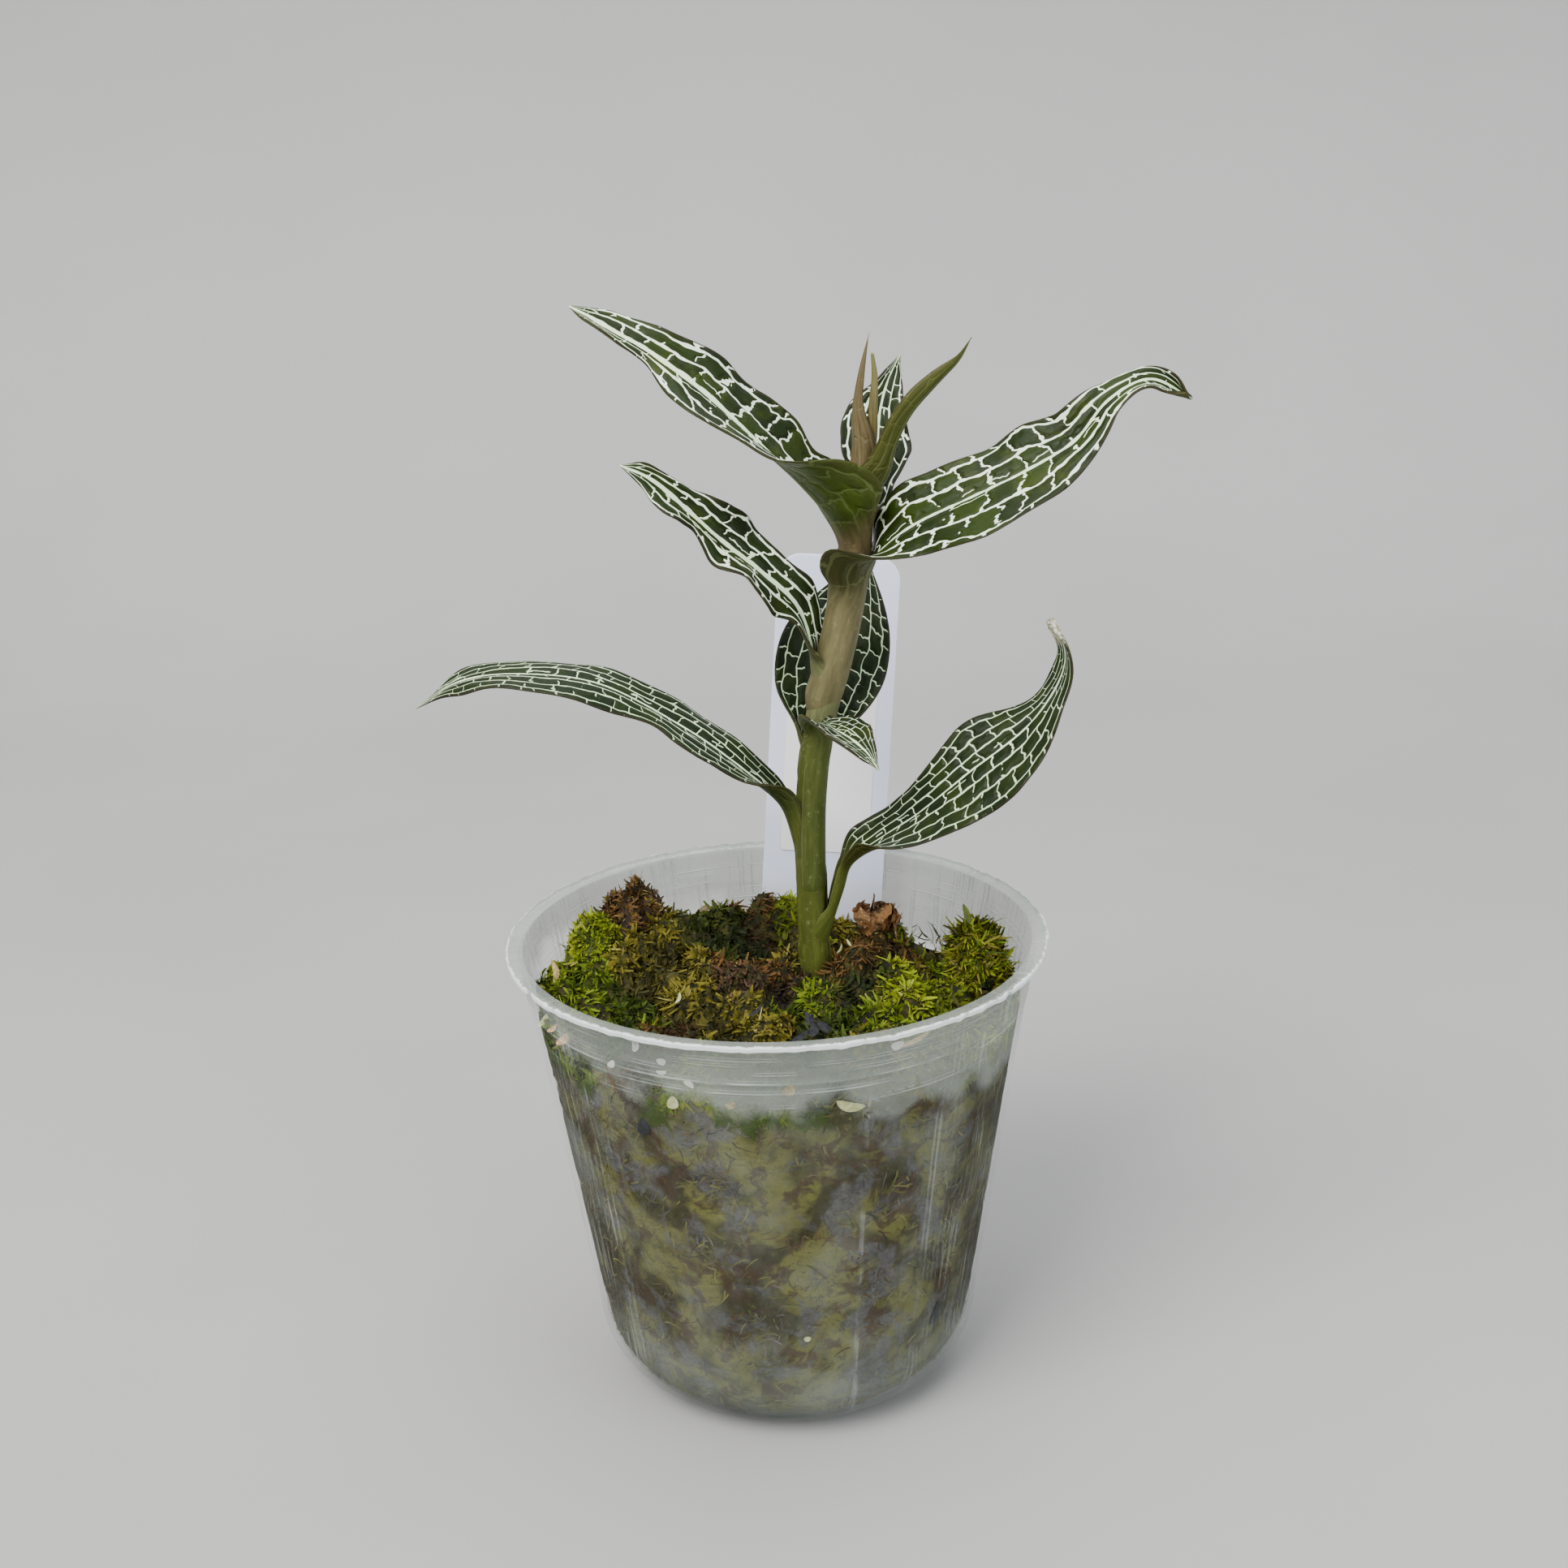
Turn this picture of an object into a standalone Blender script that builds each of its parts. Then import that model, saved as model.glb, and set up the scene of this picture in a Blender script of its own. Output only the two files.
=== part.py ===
"""Jewel orchid growing in packed moss, in a soft see-through nursery pot with a plant label.

The constants are in millimetres and degrees, the meshes in metres. +Z is up and the origin
is the centre of the pot's flat base. The label stands at the back of the pot, towards +Y.
Directions are given as (azimuth, elevation): azimuth 0 is +X, 90 is +Y, -90 the front.
"""

import math
import random

import bmesh
import bpy
import numpy as np
from mathutils import Matrix, Vector, noise

MM = 0.001
GAP = 0.3                      # clearance between pieces that touch on the real plant

# Pot: a turned shell with a thin rim and a wide bend into a flat base
POT_HEIGHT = 52.5
RIM_RADIUS = 30.0
RIM_THICKNESS = 0.7
RIM_ROUGHNESS = 0.16           # how far the torn-looking edge of the rim strays
WALL_TOP_RADIUS = 28.7
WALL_FOOT_RADIUS = 20.7        # where the straight wall would meet the floor
BASE_BEND = 9.0                # outer radius of the bend from the wall into the base
WALL = 0.6
RING_HEIGHTS = (49.8, 47.4)
RING_RELIEF = 0.18
RING_HALF_WIDTH = 0.35
POT_SEGMENTS = 40
BEND_STEPS = 4
DRAIN_HOLES = 8
DRAIN_RADIUS = 1.5
DRAIN_CIRCLE = 9.0
DRAIN_SIDES = 9
DRAIN_TURN = 5.0

# Moss: a packed plug whose top carries clumps, given as (x, y, rise, spread)
MOSS_LEVEL = 46.0
MOSS_EDGE_DROP = 1.5
MOSS_CLUMPS = (
    (-15.0, 12.0, 4.2, 9.0),
    (-14.5, 1.5, 3.2, 5.0),
    (-7.3, 9.0, 2.6, 4.0),
    (-2.6, 13.0, 3.4, 3.6),
    (1.0, 14.5, 4.4, 3.4),
    (-21.5, -2.0, 3.6, 5.0),
    (-4.0, -6.0, 3.6, 6.0),
    (9.5, -3.0, 4.4, 4.6),
    (11.5, 6.5, 4.2, 4.2),
    (17.0, -7.0, 2.6, 6.0),
    (-9.5, -15.0, 2.2, 6.0),
    (6.0, -16.0, 2.4, 6.0),
    (17.0, 15.0, -5.5, 7.0),
    (-10.0, 20.0, -3.0, 5.0),
)
MOSS_ROUGHNESS = 1.3
MOSS_GRAIN = 0.30              # lumps per millimetre
MOSS_RINGS = 10

# Tufts standing on the moss: (x, y, radius, height, spikes)
TUFTS = {
    "moss_tuft_brown_left": (-17.6, 12.8, 4.2, 2.0, 10),
    "moss_tuft_green_left": (-21.0, 3.2, 3.4, 3.4, 10),
    "moss_tuft_right": (22.4, 0.8, 3.6, 5.0, 14),
}
TUFT_COLOURS = {
    "moss_tuft_brown_left": (0.10, 0.065, 0.02),
    "moss_tuft_green_left": (0.16, 0.24, 0.01),
    "moss_tuft_right": (0.12, 0.13, 0.01),
}
TUFT_SIDES = 12
TUFT_RINGS = 4
TUFT_FLOAT = 1.0               # height of a tuft's underside over the moss
TUFT_EDGE = 0.6                # thickness of a tuft at its edge
SPIKE_LENGTH = 2.6
SPIKE_RADIUS = 0.5
SPIKE_SUNK = 1.2               # how deep a spike starts inside its tuft

# Dry chip behind the stem
CHIP_CENTRE = (11.4, 6.0)
CHIP_RADIUS = 3.2
CHIP_HEIGHT = 3.8

# Stem: its centre line, from the buried end to the growing point
STEM_LINE = (
    (6.6, 1.6, 28.0),
    (4.9, 0.4, 38.0),
    (4.2, 0.0, 48.0),
    (4.0, 0.0, 64.5),
    (5.1, 0.0, 75.5),
    (8.1, 0.0, 87.9),
    (9.6, 0.0, 97.4),
    (10.4, 0.0, 105.0),
)
STEM_FOOT = 30.0
STEM_TOP = 103.0
SPEAR_INNER = ((10.6, 0.0, 103.4), (11.3, 0.0, 106.6), (11.5, 0.0, 109.9), (11.7, 0.0, 112.8),
               (11.5, 0.0, 115.2))
SPEAR_INNER_RADIUS = 0.62
STEM_RADIUS = 0.55
STEM_SIDES = 8
STEM_STEPS = 26
BURIED_RADIUS = 1.1            # the buried end is thicker than the wrapped stem
COLLAR_RADIUS = 1.3            # how much wider the moss hole is around the lowest sheath
ROOT_RADIUS = 0.9
ROOT_SIDES = 6
ROOTS = (                      # each root leaves the buried end and reaches (x, y, z)
    ((-3.0, -6.0, 27.0), (-9.0, -10.0, 18.0)),
    ((12.0, -4.0, 26.0), (15.0, -9.0, 15.0)),
    ((3.0, 5.0, 26.0), (-3.0, 9.0, 16.0)),
)

# Leaf sheaths, measured to the middle of their thickness
SHEATH_START_RADIUS = 1.1
SHEATH_TURN = 351.0
SHEATH_THICKNESS = 0.4
BLADE_THICKNESS = 0.6
SHEATH_LAP = 1.0               # how far a sheath starts inside the mouth below it
CLASP_REACH = 1.5              # how near a younger leaf must come for an older one to give way
CLASP_LIMIT = 5.5              # distance from the stem past which leaves pass freely
CLASP_GAP = 0.38
CLASP_PASSES = 3
CLASP_STEP = 0.25

# Each leaf: the heights of its sheath on the stem, the side it leaves on, then its midrib as
# stops (x, y, z, azimuth, elevation), the last two saying where its upper face looks.
# "neck" is the stretch before the blade as a share of the free length, "cup" how far the
# blade bends across its width, and "wave" the ripple of its margins (height, count, phases).
LEAVES = {
    "leaf_1": dict(
        sheath=(46.4, 51.6), side=-10.0,
        stops=((7.3, -0.8, 57.5, 185, 30), (8.4, -1.4, 60.9, 190, 40), (11.5, -2.2, 63.9, 210, 50),
               (15.5, -3.4, 67.0, 235, 48), (20.7, -4.6, 71.7, 238, 42), (26.4, -5.2, 76.4, 230, 35),
               (29.8, -5.0, 80.8, 205, 25), (30.9, -4.4, 84.4, 190, 10), (29.6, -3.4, 87.9, 190, -20)),
        neck=0.20, neck_width=3.0, neck_turn=190, width=11.5, widest=0.42, taper=1.3, cup=30,
        skew=0.2, wave=(0.4, 2.5, 0.2, 0.6)),
    "leaf_2": dict(
        sheath=(50.4, 60.0), side=180.0,
        stops=((2.2, 0.3, 63.0, 10, 5), (0.6, -0.2, 67.8, 10, 30), (-3.9, -1.2, 72.6, -60, 60),
               (-9.5, -2.0, 77.2, -80, 70), (-17.8, -2.0, 82.0, -88, 80), (-26.1, -1.0, 83.1, -90, 82),
               (-32.6, 0.2, 82.2, -95, 78), (-38.0, 1.0, 79.0, -110, 75)),
        neck=0.12, neck_width=3.8, neck_turn=180, width=9.6, widest=0.50, cup=-14, skew=-0.10,
        wave=(0.6, 2.5, 0.5, 0.1)),
    "leaf_4": dict(
        sheath=(63.4, 72.6), side=80.0,
        stops=((5.0, 2.4, 75.0, -85, 15), (5.4, 3.6, 77.2, -85, 22), (6.4, 5.5, 80.3, -85, 28),
               (8.0, 8.0, 84.0, -88, 30), (9.7, 10.5, 87.8, -90, 32), (11.3, 12.5, 91.7, -92, 28)),
        neck=0.04, neck_width=3.0, neck_turn=170, width=12.6, widest=0.42, cup=50,
        wave=(0.4, 2.0, 0.3, 0.8)),
    "leaf_3": dict(
        sheath=(71.6, 75.0), side=-75.0,
        stops=((4.7, -2.3, 76.8, 90, 40), (6.2, -5.0, 77.4, 60, 75), (8.1, -8.5, 77.3, -75, 80),
               (9.7, -11.0, 76.4, -75, 65), (10.9, -13.0, 75.0, -75, 50)),
        neck=0.06, neck_width=2.6, neck_turn=150, width=5.6, widest=0.40, taper=1.3, cup=50,
        wave=(0.3, 1.5, 0.0, 0.4), rows=16, opening=2.2),
    "leaf_5": dict(
        sheath=(74.8, 80.4), side=190.0,
        stops=((4.6, -0.2, 82.7, 0, 15), (4.4, -0.6, 85.5, -30, 25), (3.1, -1.6, 89.9, -60, 42),
               (-0.6, -2.6, 93.8, -72, 50), (-5.3, -3.4, 98.0, -75, 52), (-10.5, -3.4, 103.0, -78, 48),
               (-14.4, -3.2, 105.1, -90, 60)),
        neck=0.10, neck_width=3.6, neck_turn=180, width=9.1, widest=0.47, taper=1.0, cup=36,
        wave=(0.9, 3.0, 0.0, 0.35)),
    "leaf_6": dict(
        sheath=(79.4, 89.6), side=-35.0, girth=1.75,
        stops=((10.6, -2.6, 93.8, 150, 45), (12.6, -3.6, 96.4, 205, 52), (15.7, -4.6, 98.7, 230, 52),
               (20.9, -5.8, 101.3, 238, 48), (26.1, -6.4, 103.8, 238, 48), (31.1, -6.4, 106.7, 240, 46),
               (34.5, -5.8, 110.5, 240, 48), (38.8, -5.0, 112.4, 250, 60), (43.3, -4.2, 110.2, 250, 45)),
        neck=0.04, neck_width=6.5, neck_turn=150, width=13.0, widest=0.34, taper=1.7, cup=40,
        skew=0.24, wave=(0.7, 2.5, 0.6, 0.2)),
    "leaf_7": dict(
        sheath=(88.6, 95.6), side=225.0,
        stops=((6.6, -2.0, 99.4, 30, 20), (3.8, -3.0, 103.1, 15, 46), (-0.6, -3.8, 107.5, -30, 66),
               (-5.4, -3.8, 112.2, -62, 56), (-9.5, -3.2, 115.4, -72, 50), (-14.1, -2.2, 118.2, -75, 50),
               (-18.8, -1.2, 120.8, -78, 55)),
        neck=0.05, neck_width=12.0, neck_turn=200, open_by=0.46, width=10.4, widest=0.42, taper=1.3,
        cup=30, skew=0.16, wave=(0.7, 2.5, 0.0, 0.5)),
    "leaf_8": dict(
        sheath=(94.6, 97.8), side=80.0,
        stops=((11.8, 3.6, 101.8, -90, 8), (12.1, 5.0, 105.0, -90, 16), (12.5, 6.4, 108.2, -90, 20),
               (13.4, 7.4, 111.4, -90, 20), (14.8, 8.0, 114.1, -90, 15)),
        neck=0.05, neck_width=3.0, neck_turn=150, width=8.6, widest=0.5, taper=1.2, cup=50,
        wave=(0.4, 2.0, 0.5, 0.9), rows=18, opening=3.0),
    "leaf_9": dict(
        sheath=(96.8, 100.4), side=-50.0,
        stops=((12.4, -2.0, 103.2, 135, 5), (13.3, -2.6, 106.4, 135, 15), (14.9, -3.2, 109.6, 135, 25),
               (17.5, -3.4, 112.5, 130, 30), (19.9, -3.2, 114.7, 125, 30), (21.3, -3.0, 116.8, 125, 25)),
        neck=0.05, neck_width=4.6, neck_turn=200, width=3.4, widest=0.35, cup=140,
        wave=(0.1, 2.0, 0.5, 0.9), rows=18, opening=3.0),
    "spear_outer": dict(
        sheath=(99.4, 102.4), side=180.0, girth=1.3,
        stops=((9.6, 0.1, 106.0, 0, 0), (9.7, 0.1, 109.9, 0, 0), (10.3, 0.1, 113.6, 0, -10),
               (11.2, 0.1, 117.2, 0, -15)),
        neck=0.05, neck_width=5.6, neck_turn=280, open_by=0.6, width=2.0, widest=0.4, cup=200,
        wave=(0.0, 2.0, 0.5, 0.9), rows=16),
}
PLAIN_LEAF = dict(girth=1.45, open_by=0.30, taper=1.1, skew=0.0, rows=21,
                  opening=4.5)

BLADE_COLUMNS = 8
ROW_SPREAD = 1.25              # over 1 packs a leaf's rows closer near its sheath

# Plant label
LABEL_WIDTH = 14.5
LABEL_LENGTH = 80.0
LABEL_THICKNESS = 0.6
LABEL_CORNER = 2.8
LABEL_POINT = 12.0             # length of the tapered buried end
LABEL_SHOWN = 41.4             # length above the moss
LABEL_FOOT = (5.4, 20.0, 48.3)
LABEL_LEAN_RIGHT = 4.5
LABEL_LEAN_BACK = 8.5
STICKER_WIDTH = 10.6
STICKER_LENGTH = 26.8
STICKER_RISE = 5.9             # its lower edge above the moss
STICKER_THICKNESS = 0.3


def clear_scene():
    for old in list(bpy.data.objects):
        bpy.data.objects.remove(old, do_unlink=True)


def material(name, colour, roughness, alpha=1.0):
    mat = bpy.data.materials.new(name)
    mat.use_nodes = True
    shader = mat.node_tree.nodes["Principled BSDF"]
    shader.inputs["Base Color"].default_value = (*colour, 1.0)
    shader.inputs["Roughness"].default_value = roughness
    shader.inputs["Alpha"].default_value = alpha
    return mat


def add_object(name, points, faces, mat):
    """A mesh object from points in millimetres and faces of point numbers."""
    mesh = bpy.data.meshes.new(name)
    mesh.from_pydata([tuple(Vector(p) * MM) for p in points], [], faces)
    mesh.validate()
    obj = bpy.data.objects.new(name, mesh)
    bpy.context.scene.collection.objects.link(obj)
    mesh.materials.append(mat)
    work = bmesh.new()
    work.from_mesh(mesh)
    bmesh.ops.recalc_face_normals(work, faces=work.faces)
    work.to_mesh(mesh)
    work.free()
    return obj


def direction(azimuth, elevation):
    a = math.radians(azimuth)
    e = math.radians(elevation)
    return np.array([math.cos(a) * math.cos(e), math.sin(a) * math.cos(e), math.sin(e)])


def smooth_step(x, low, high):
    t = np.clip((np.asarray(x, float) - low) / (high - low), 0.0, 1.0)
    return t * t * (3.0 - 2.0 * t)


def smooth_route(stops, steps_per_span=12):
    """A curve through all the stops, each a row of numbers, with rounded corners."""
    rows = np.asarray(stops, float)
    rows = np.vstack([2 * rows[0] - rows[1], rows, 2 * rows[-1] - rows[-2]])
    curve = []
    for i in range(1, len(rows) - 2):
        a, b, c, d = rows[i - 1:i + 3]
        for t in np.arange(steps_per_span) / steps_per_span:
            curve.append(0.5 * (2 * b + (c - a) * t + (2 * a - 5 * b + 4 * c - d) * t ** 2
                                + (3 * b - a - 3 * c + d) * t ** 3))
    curve.append(rows[-2])
    return np.array(curve)


def lengths_along(curve):
    steps = np.linalg.norm(np.diff(curve[:, :3], axis=0), axis=1)
    return np.concatenate([[0.0], np.cumsum(steps)])


def even_rows(curve, places):
    """The curve's rows at the given lengths from its start."""
    along = lengths_along(curve)
    return np.stack([np.interp(places, along, curve[:, k]) for k in range(curve.shape[1])], axis=1)


STEM_CURVE = smooth_route(STEM_LINE)


def stem_at(height):
    return np.array([np.interp(height, STEM_CURVE[:, 2], STEM_CURVE[:, k]) for k in range(3)])


def unit(rows):
    return rows / np.linalg.norm(rows, axis=-1, keepdims=True)


def grid_faces(rows, columns, start=0, closed=False):
    faces = []
    last = columns if closed else columns - 1
    for i in range(rows - 1):
        for j in range(last):
            k = (j + 1) % columns
            a = start + i * columns
            b = a + columns
            faces.append((a + j, a + k, b + k, b + j))
    return faces


def tube(route, radii, sides):
    """Points and faces of a closed round tube along a route."""
    forward = unit(np.gradient(route, axis=0))
    side = unit(np.cross(forward, np.array([0.0, 1.0, 0.0])))
    other = np.cross(forward, side)
    points = []
    for centre, a, b, radius in zip(route, side, other, radii):
        for k in range(sides):
            turn = 2 * math.pi * k / sides
            points.append(centre + radius * (math.cos(turn) * a + math.sin(turn) * b))
    faces = grid_faces(len(route), sides, closed=True)
    faces.append(tuple(range(sides)))
    faces.append(tuple(range((len(route) - 1) * sides, len(route) * sides)))
    return points, faces


def turned(profile, segments, spread=None):
    """Points and faces of a closed turned solid; the profile starts and ends on the axis."""
    points = [(0.0, 0.0, profile[0][1])]
    rings = profile[1:-1]
    for number, (radius, height) in enumerate(rings):
        for k in range(segments):
            turn = 2 * math.pi * k / segments
            r = radius + (spread(number, turn) if spread else 0.0)
            points.append((r * math.cos(turn), r * math.sin(turn), height))
    points.append((0.0, 0.0, profile[-1][1]))
    faces = grid_faces(len(rings), segments, start=1, closed=True)
    last = len(points) - 1
    for k in range(segments):
        n = (k + 1) % segments
        faces.append((0, 1 + k, 1 + n))
        faces.append((last, last - segments + n, last - segments + k))
    return points, faces


def boolean(obj, cutter, operation, name):
    mod = obj.modifiers.new(name, "BOOLEAN")
    mod.operation = operation
    mod.solver = "EXACT"
    mod.object = cutter
    cutter.hide_render = True
    cutter.display_type = "WIRE"


def wall_slope():
    return math.atan2(WALL_TOP_RADIUS - WALL_FOOT_RADIUS, POT_HEIGHT)


def wall_radius(height, inset=0.0):
    """Radius of the straight wall at a height, moved inwards by inset."""
    slope = wall_slope()
    return WALL_FOOT_RADIUS + height * math.tan(slope) - inset / math.cos(slope)


def bend_profile(inset):
    """The base and its bend as (radius, height), from the flat's edge up to the wall."""
    slope = wall_slope()
    flat = WALL_FOOT_RADIUS - BASE_BEND * math.tan((math.pi / 2 - slope) / 2)
    radius = BASE_BEND - inset
    points = []
    for step in range(BEND_STEPS + 1):
        angle = -math.pi / 2 + (math.pi / 2 - slope) * step / BEND_STEPS
        points.append((flat + radius * math.cos(angle), BASE_BEND + radius * math.sin(angle)))
    return points


def build_pot():
    outer = [(0.0, 0.0)] + bend_profile(0.0)
    for height in sorted(RING_HEIGHTS):
        outer.append((wall_radius(height - RING_HALF_WIDTH), height - RING_HALF_WIDTH))
        outer.append((wall_radius(height) + RING_RELIEF, height))
        outer.append((wall_radius(height + RING_HALF_WIDTH), height + RING_HALF_WIDTH))
    under_rim = POT_HEIGHT - RIM_THICKNESS
    outer.append((wall_radius(under_rim), under_rim))
    edge_rings = (len(outer), len(outer) + 1)
    outer.append((RIM_RADIUS, under_rim))
    outer.append((RIM_RADIUS, POT_HEIGHT))
    inner = [(0.0, WALL)] + bend_profile(WALL)
    inner.append((wall_radius(POT_HEIGHT, WALL), POT_HEIGHT))

    def torn_edge(number, turn):
        if number + 1 not in edge_rings:
            return 0.0
        around = Vector((math.cos(turn), math.sin(turn), 0.0)) * 7.0
        return RIM_ROUGHNESS * (noise.noise(around) - 0.6)

    points, faces = turned(outer + inner[::-1], POT_SEGMENTS, torn_edge)
    pot = add_object("pot", points, faces, material("soft_clear_plastic", (0.72, 0.75, 0.72), 0.35, 0.45))
    pot.data.shade_smooth()
    pot.data.set_sharp_from_angle(angle=math.radians(40))
    for number in range(DRAIN_HOLES):
        turn = 2 * math.pi * number / DRAIN_HOLES + math.radians(DRAIN_TURN)
        centre = np.array([DRAIN_CIRCLE * math.cos(turn), DRAIN_CIRCLE * math.sin(turn), 0.0])
        route = centre + np.array([[0, 0, -1.0], [0, 0, WALL + 1.0]])
        points, faces = tube(route, [DRAIN_RADIUS] * 2, DRAIN_SIDES)
        cutter = add_object(f"drain_cutter_{number}", points, faces, pot.data.materials[0])
        boolean(pot, cutter, "DIFFERENCE", f"drain_{number}")
    return pot


def moss_height(x, y):
    """Height of the moss plug's top at a place."""
    height = MOSS_LEVEL - MOSS_EDGE_DROP * smooth_step(math.hypot(x, y), 20.0, 28.0)
    for cx, cy, rise, spread in MOSS_CLUMPS:
        height += rise * math.exp(-((x - cx) ** 2 + (y - cy) ** 2) / (0.5 * spread ** 2) / 2)
    place = Vector((x, y, 0.0)) * MOSS_GRAIN
    return height + MOSS_ROUGHNESS * noise.fractal(place, 1.0, 2.2, 3)


def build_moss():
    inset = WALL + GAP
    side = [(0.0, inset)] + bend_profile(inset)
    for share in (0.4, 0.75):
        height = BASE_BEND + share * (MOSS_LEVEL - BASE_BEND)
        side.append((wall_radius(height, inset), height))
    segments = POT_SEGMENTS
    points = [(0.0, 0.0, side[0][1])]
    rings = side[1:]
    for radius, height in rings:
        for k in range(segments):
            turn = 2 * math.pi * k / segments
            points.append((radius * math.cos(turn), radius * math.sin(turn), height))
    for ring in range(MOSS_RINGS, 0, -1):
        for k in range(segments):
            turn = 2 * math.pi * k / segments
            share = ring / MOSS_RINGS
            guess = wall_radius(MOSS_LEVEL - MOSS_EDGE_DROP, inset) * share
            height = moss_height(guess * math.cos(turn), guess * math.sin(turn))
            radius = wall_radius(height, inset) if ring == MOSS_RINGS else guess
            points.append((radius * math.cos(turn), radius * math.sin(turn), height))
    points.append((0.0, 0.0, moss_height(0.0, 0.0)))
    faces = grid_faces(len(rings) + MOSS_RINGS, segments, start=1, closed=True)
    last = len(points) - 1
    for k in range(segments):
        n = (k + 1) % segments
        faces.append((0, 1 + k, 1 + n))
        faces.append((last, last - segments + n, last - segments + k))
    moss = add_object("moss_bed", points, faces, material("moss_green", (0.16, 0.17, 0.02), 0.9))
    bmesh_triangulate(moss)
    return moss


def bmesh_triangulate(obj):
    work = bmesh.new()
    work.from_mesh(obj.data)
    bmesh.ops.triangulate(work, faces=work.faces)
    work.to_mesh(obj.data)
    work.free()


def patch_on_moss(centre, radius, rise, rings, sides, roughness, seed):
    """A lump whose underside follows the moss with a small gap: rise(share, turn) is its height."""
    cx, cy = centre
    under = []
    over = []
    for ring in range(1, rings + 1):
        share = ring / rings
        for k in range(sides):
            turn = 2 * math.pi * k / sides
            ragged = 1.0 + 0.12 * noise.noise(Vector((math.cos(turn) * 2, math.sin(turn) * 2, seed)))
            x = cx + radius * share * ragged * math.cos(turn)
            y = cy + radius * share * ragged * math.sin(turn)
            floor = moss_height(x, y) + TUFT_FLOAT
            bump = roughness * noise.noise(Vector((x, y, seed)) * 0.5)
            under.append((x, y, floor))
            over.append((x, y, floor + TUFT_EDGE + rise(share) + bump * (1 - share)))
    floor = moss_height(cx, cy) + TUFT_FLOAT
    points = [(cx, cy, floor)] + under + [(cx, cy, floor + TUFT_EDGE + rise(0.0))] + over
    top = 1 + rings * sides
    faces = grid_faces(rings, sides, start=1, closed=True)
    faces += grid_faces(rings, sides, start=top + 1, closed=True)
    rim_low = 1 + (rings - 1) * sides
    rim_high = top + 1 + (rings - 1) * sides
    for k in range(sides):
        n = (k + 1) % sides
        faces.append((0, 1 + k, 1 + n))
        faces.append((top, top + 1 + k, top + 1 + n))
        faces.append((rim_low + k, rim_low + n, rim_high + n, rim_high + k))
    return points, faces


def build_tuft(name, shape):
    x, y, radius, height, spikes = shape
    draw = random.Random(name)
    seed = draw.uniform(0, 50)

    def rise(share):
        return height * (1 - share ** 2) ** 0.8

    mat = material(name, TUFT_COLOURS[name], 0.9)
    points, faces = patch_on_moss((x, y), radius, rise, TUFT_RINGS, TUFT_SIDES, 1.2, seed)
    tuft = add_object(name, points, faces, mat)
    bmesh_triangulate(tuft)
    collection = bpy.data.collections.new(name + "_spikes")
    bpy.context.scene.collection.children.link(collection)
    for number in range(spikes):
        turn = 2 * math.pi * (number + draw.uniform(-0.3, 0.3)) / spikes
        share = draw.choice((0.25, 0.5, 0.72))
        px = x + radius * share * math.cos(turn)
        py = y + radius * share * math.sin(turn)
        top = moss_height(px, py) + TUFT_FLOAT + TUFT_EDGE + rise(share)
        lean = direction(math.degrees(turn), draw.uniform(35, 75))
        foot = np.array([px, py, top - SPIKE_SUNK])
        tip = foot + lean * (SPIKE_SUNK + SPIKE_LENGTH * draw.uniform(0.5, 1.0))
        if math.hypot(tip[0], tip[1]) > wall_radius(tip[2], WALL + 2 * GAP):
            continue
        route = np.array([foot, tip])
        spike_points, spike_faces = tube(route, [SPIKE_RADIUS, 0.12], 3)
        spike = add_object(f"{name}_spike_{number}", spike_points, spike_faces, mat)
        bpy.context.scene.collection.objects.unlink(spike)
        collection.objects.link(spike)
    fuse_collection(tuft, collection)
    return tuft


def fuse_collection(obj, collection):
    """Join a collection of small solids into one object, then drop the collection."""
    mod = obj.modifiers.new("fuse", "BOOLEAN")
    mod.operation = "UNION"
    mod.solver = "EXACT"
    mod.operand_type = "COLLECTION"
    mod.collection = collection
    bpy.context.view_layer.update()
    evaluated = obj.evaluated_get(bpy.context.evaluated_depsgraph_get())
    mesh = bpy.data.meshes.new_from_object(evaluated)
    obj.modifiers.clear()
    obj.data = mesh
    for small in list(collection.objects):
        bpy.data.objects.remove(small, do_unlink=True)
    bpy.data.collections.remove(collection)


def build_chip():
    def rise(share):
        return CHIP_HEIGHT * (1 - 0.75 * share ** 2)

    points, faces = patch_on_moss(CHIP_CENTRE, CHIP_RADIUS, rise, 3, 9, 2.0, 4.0)
    chip = add_object("bark_chip", points, faces, material("dry_bark", (0.23, 0.10, 0.035), 0.85))
    bmesh_triangulate(chip)
    return chip


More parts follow.
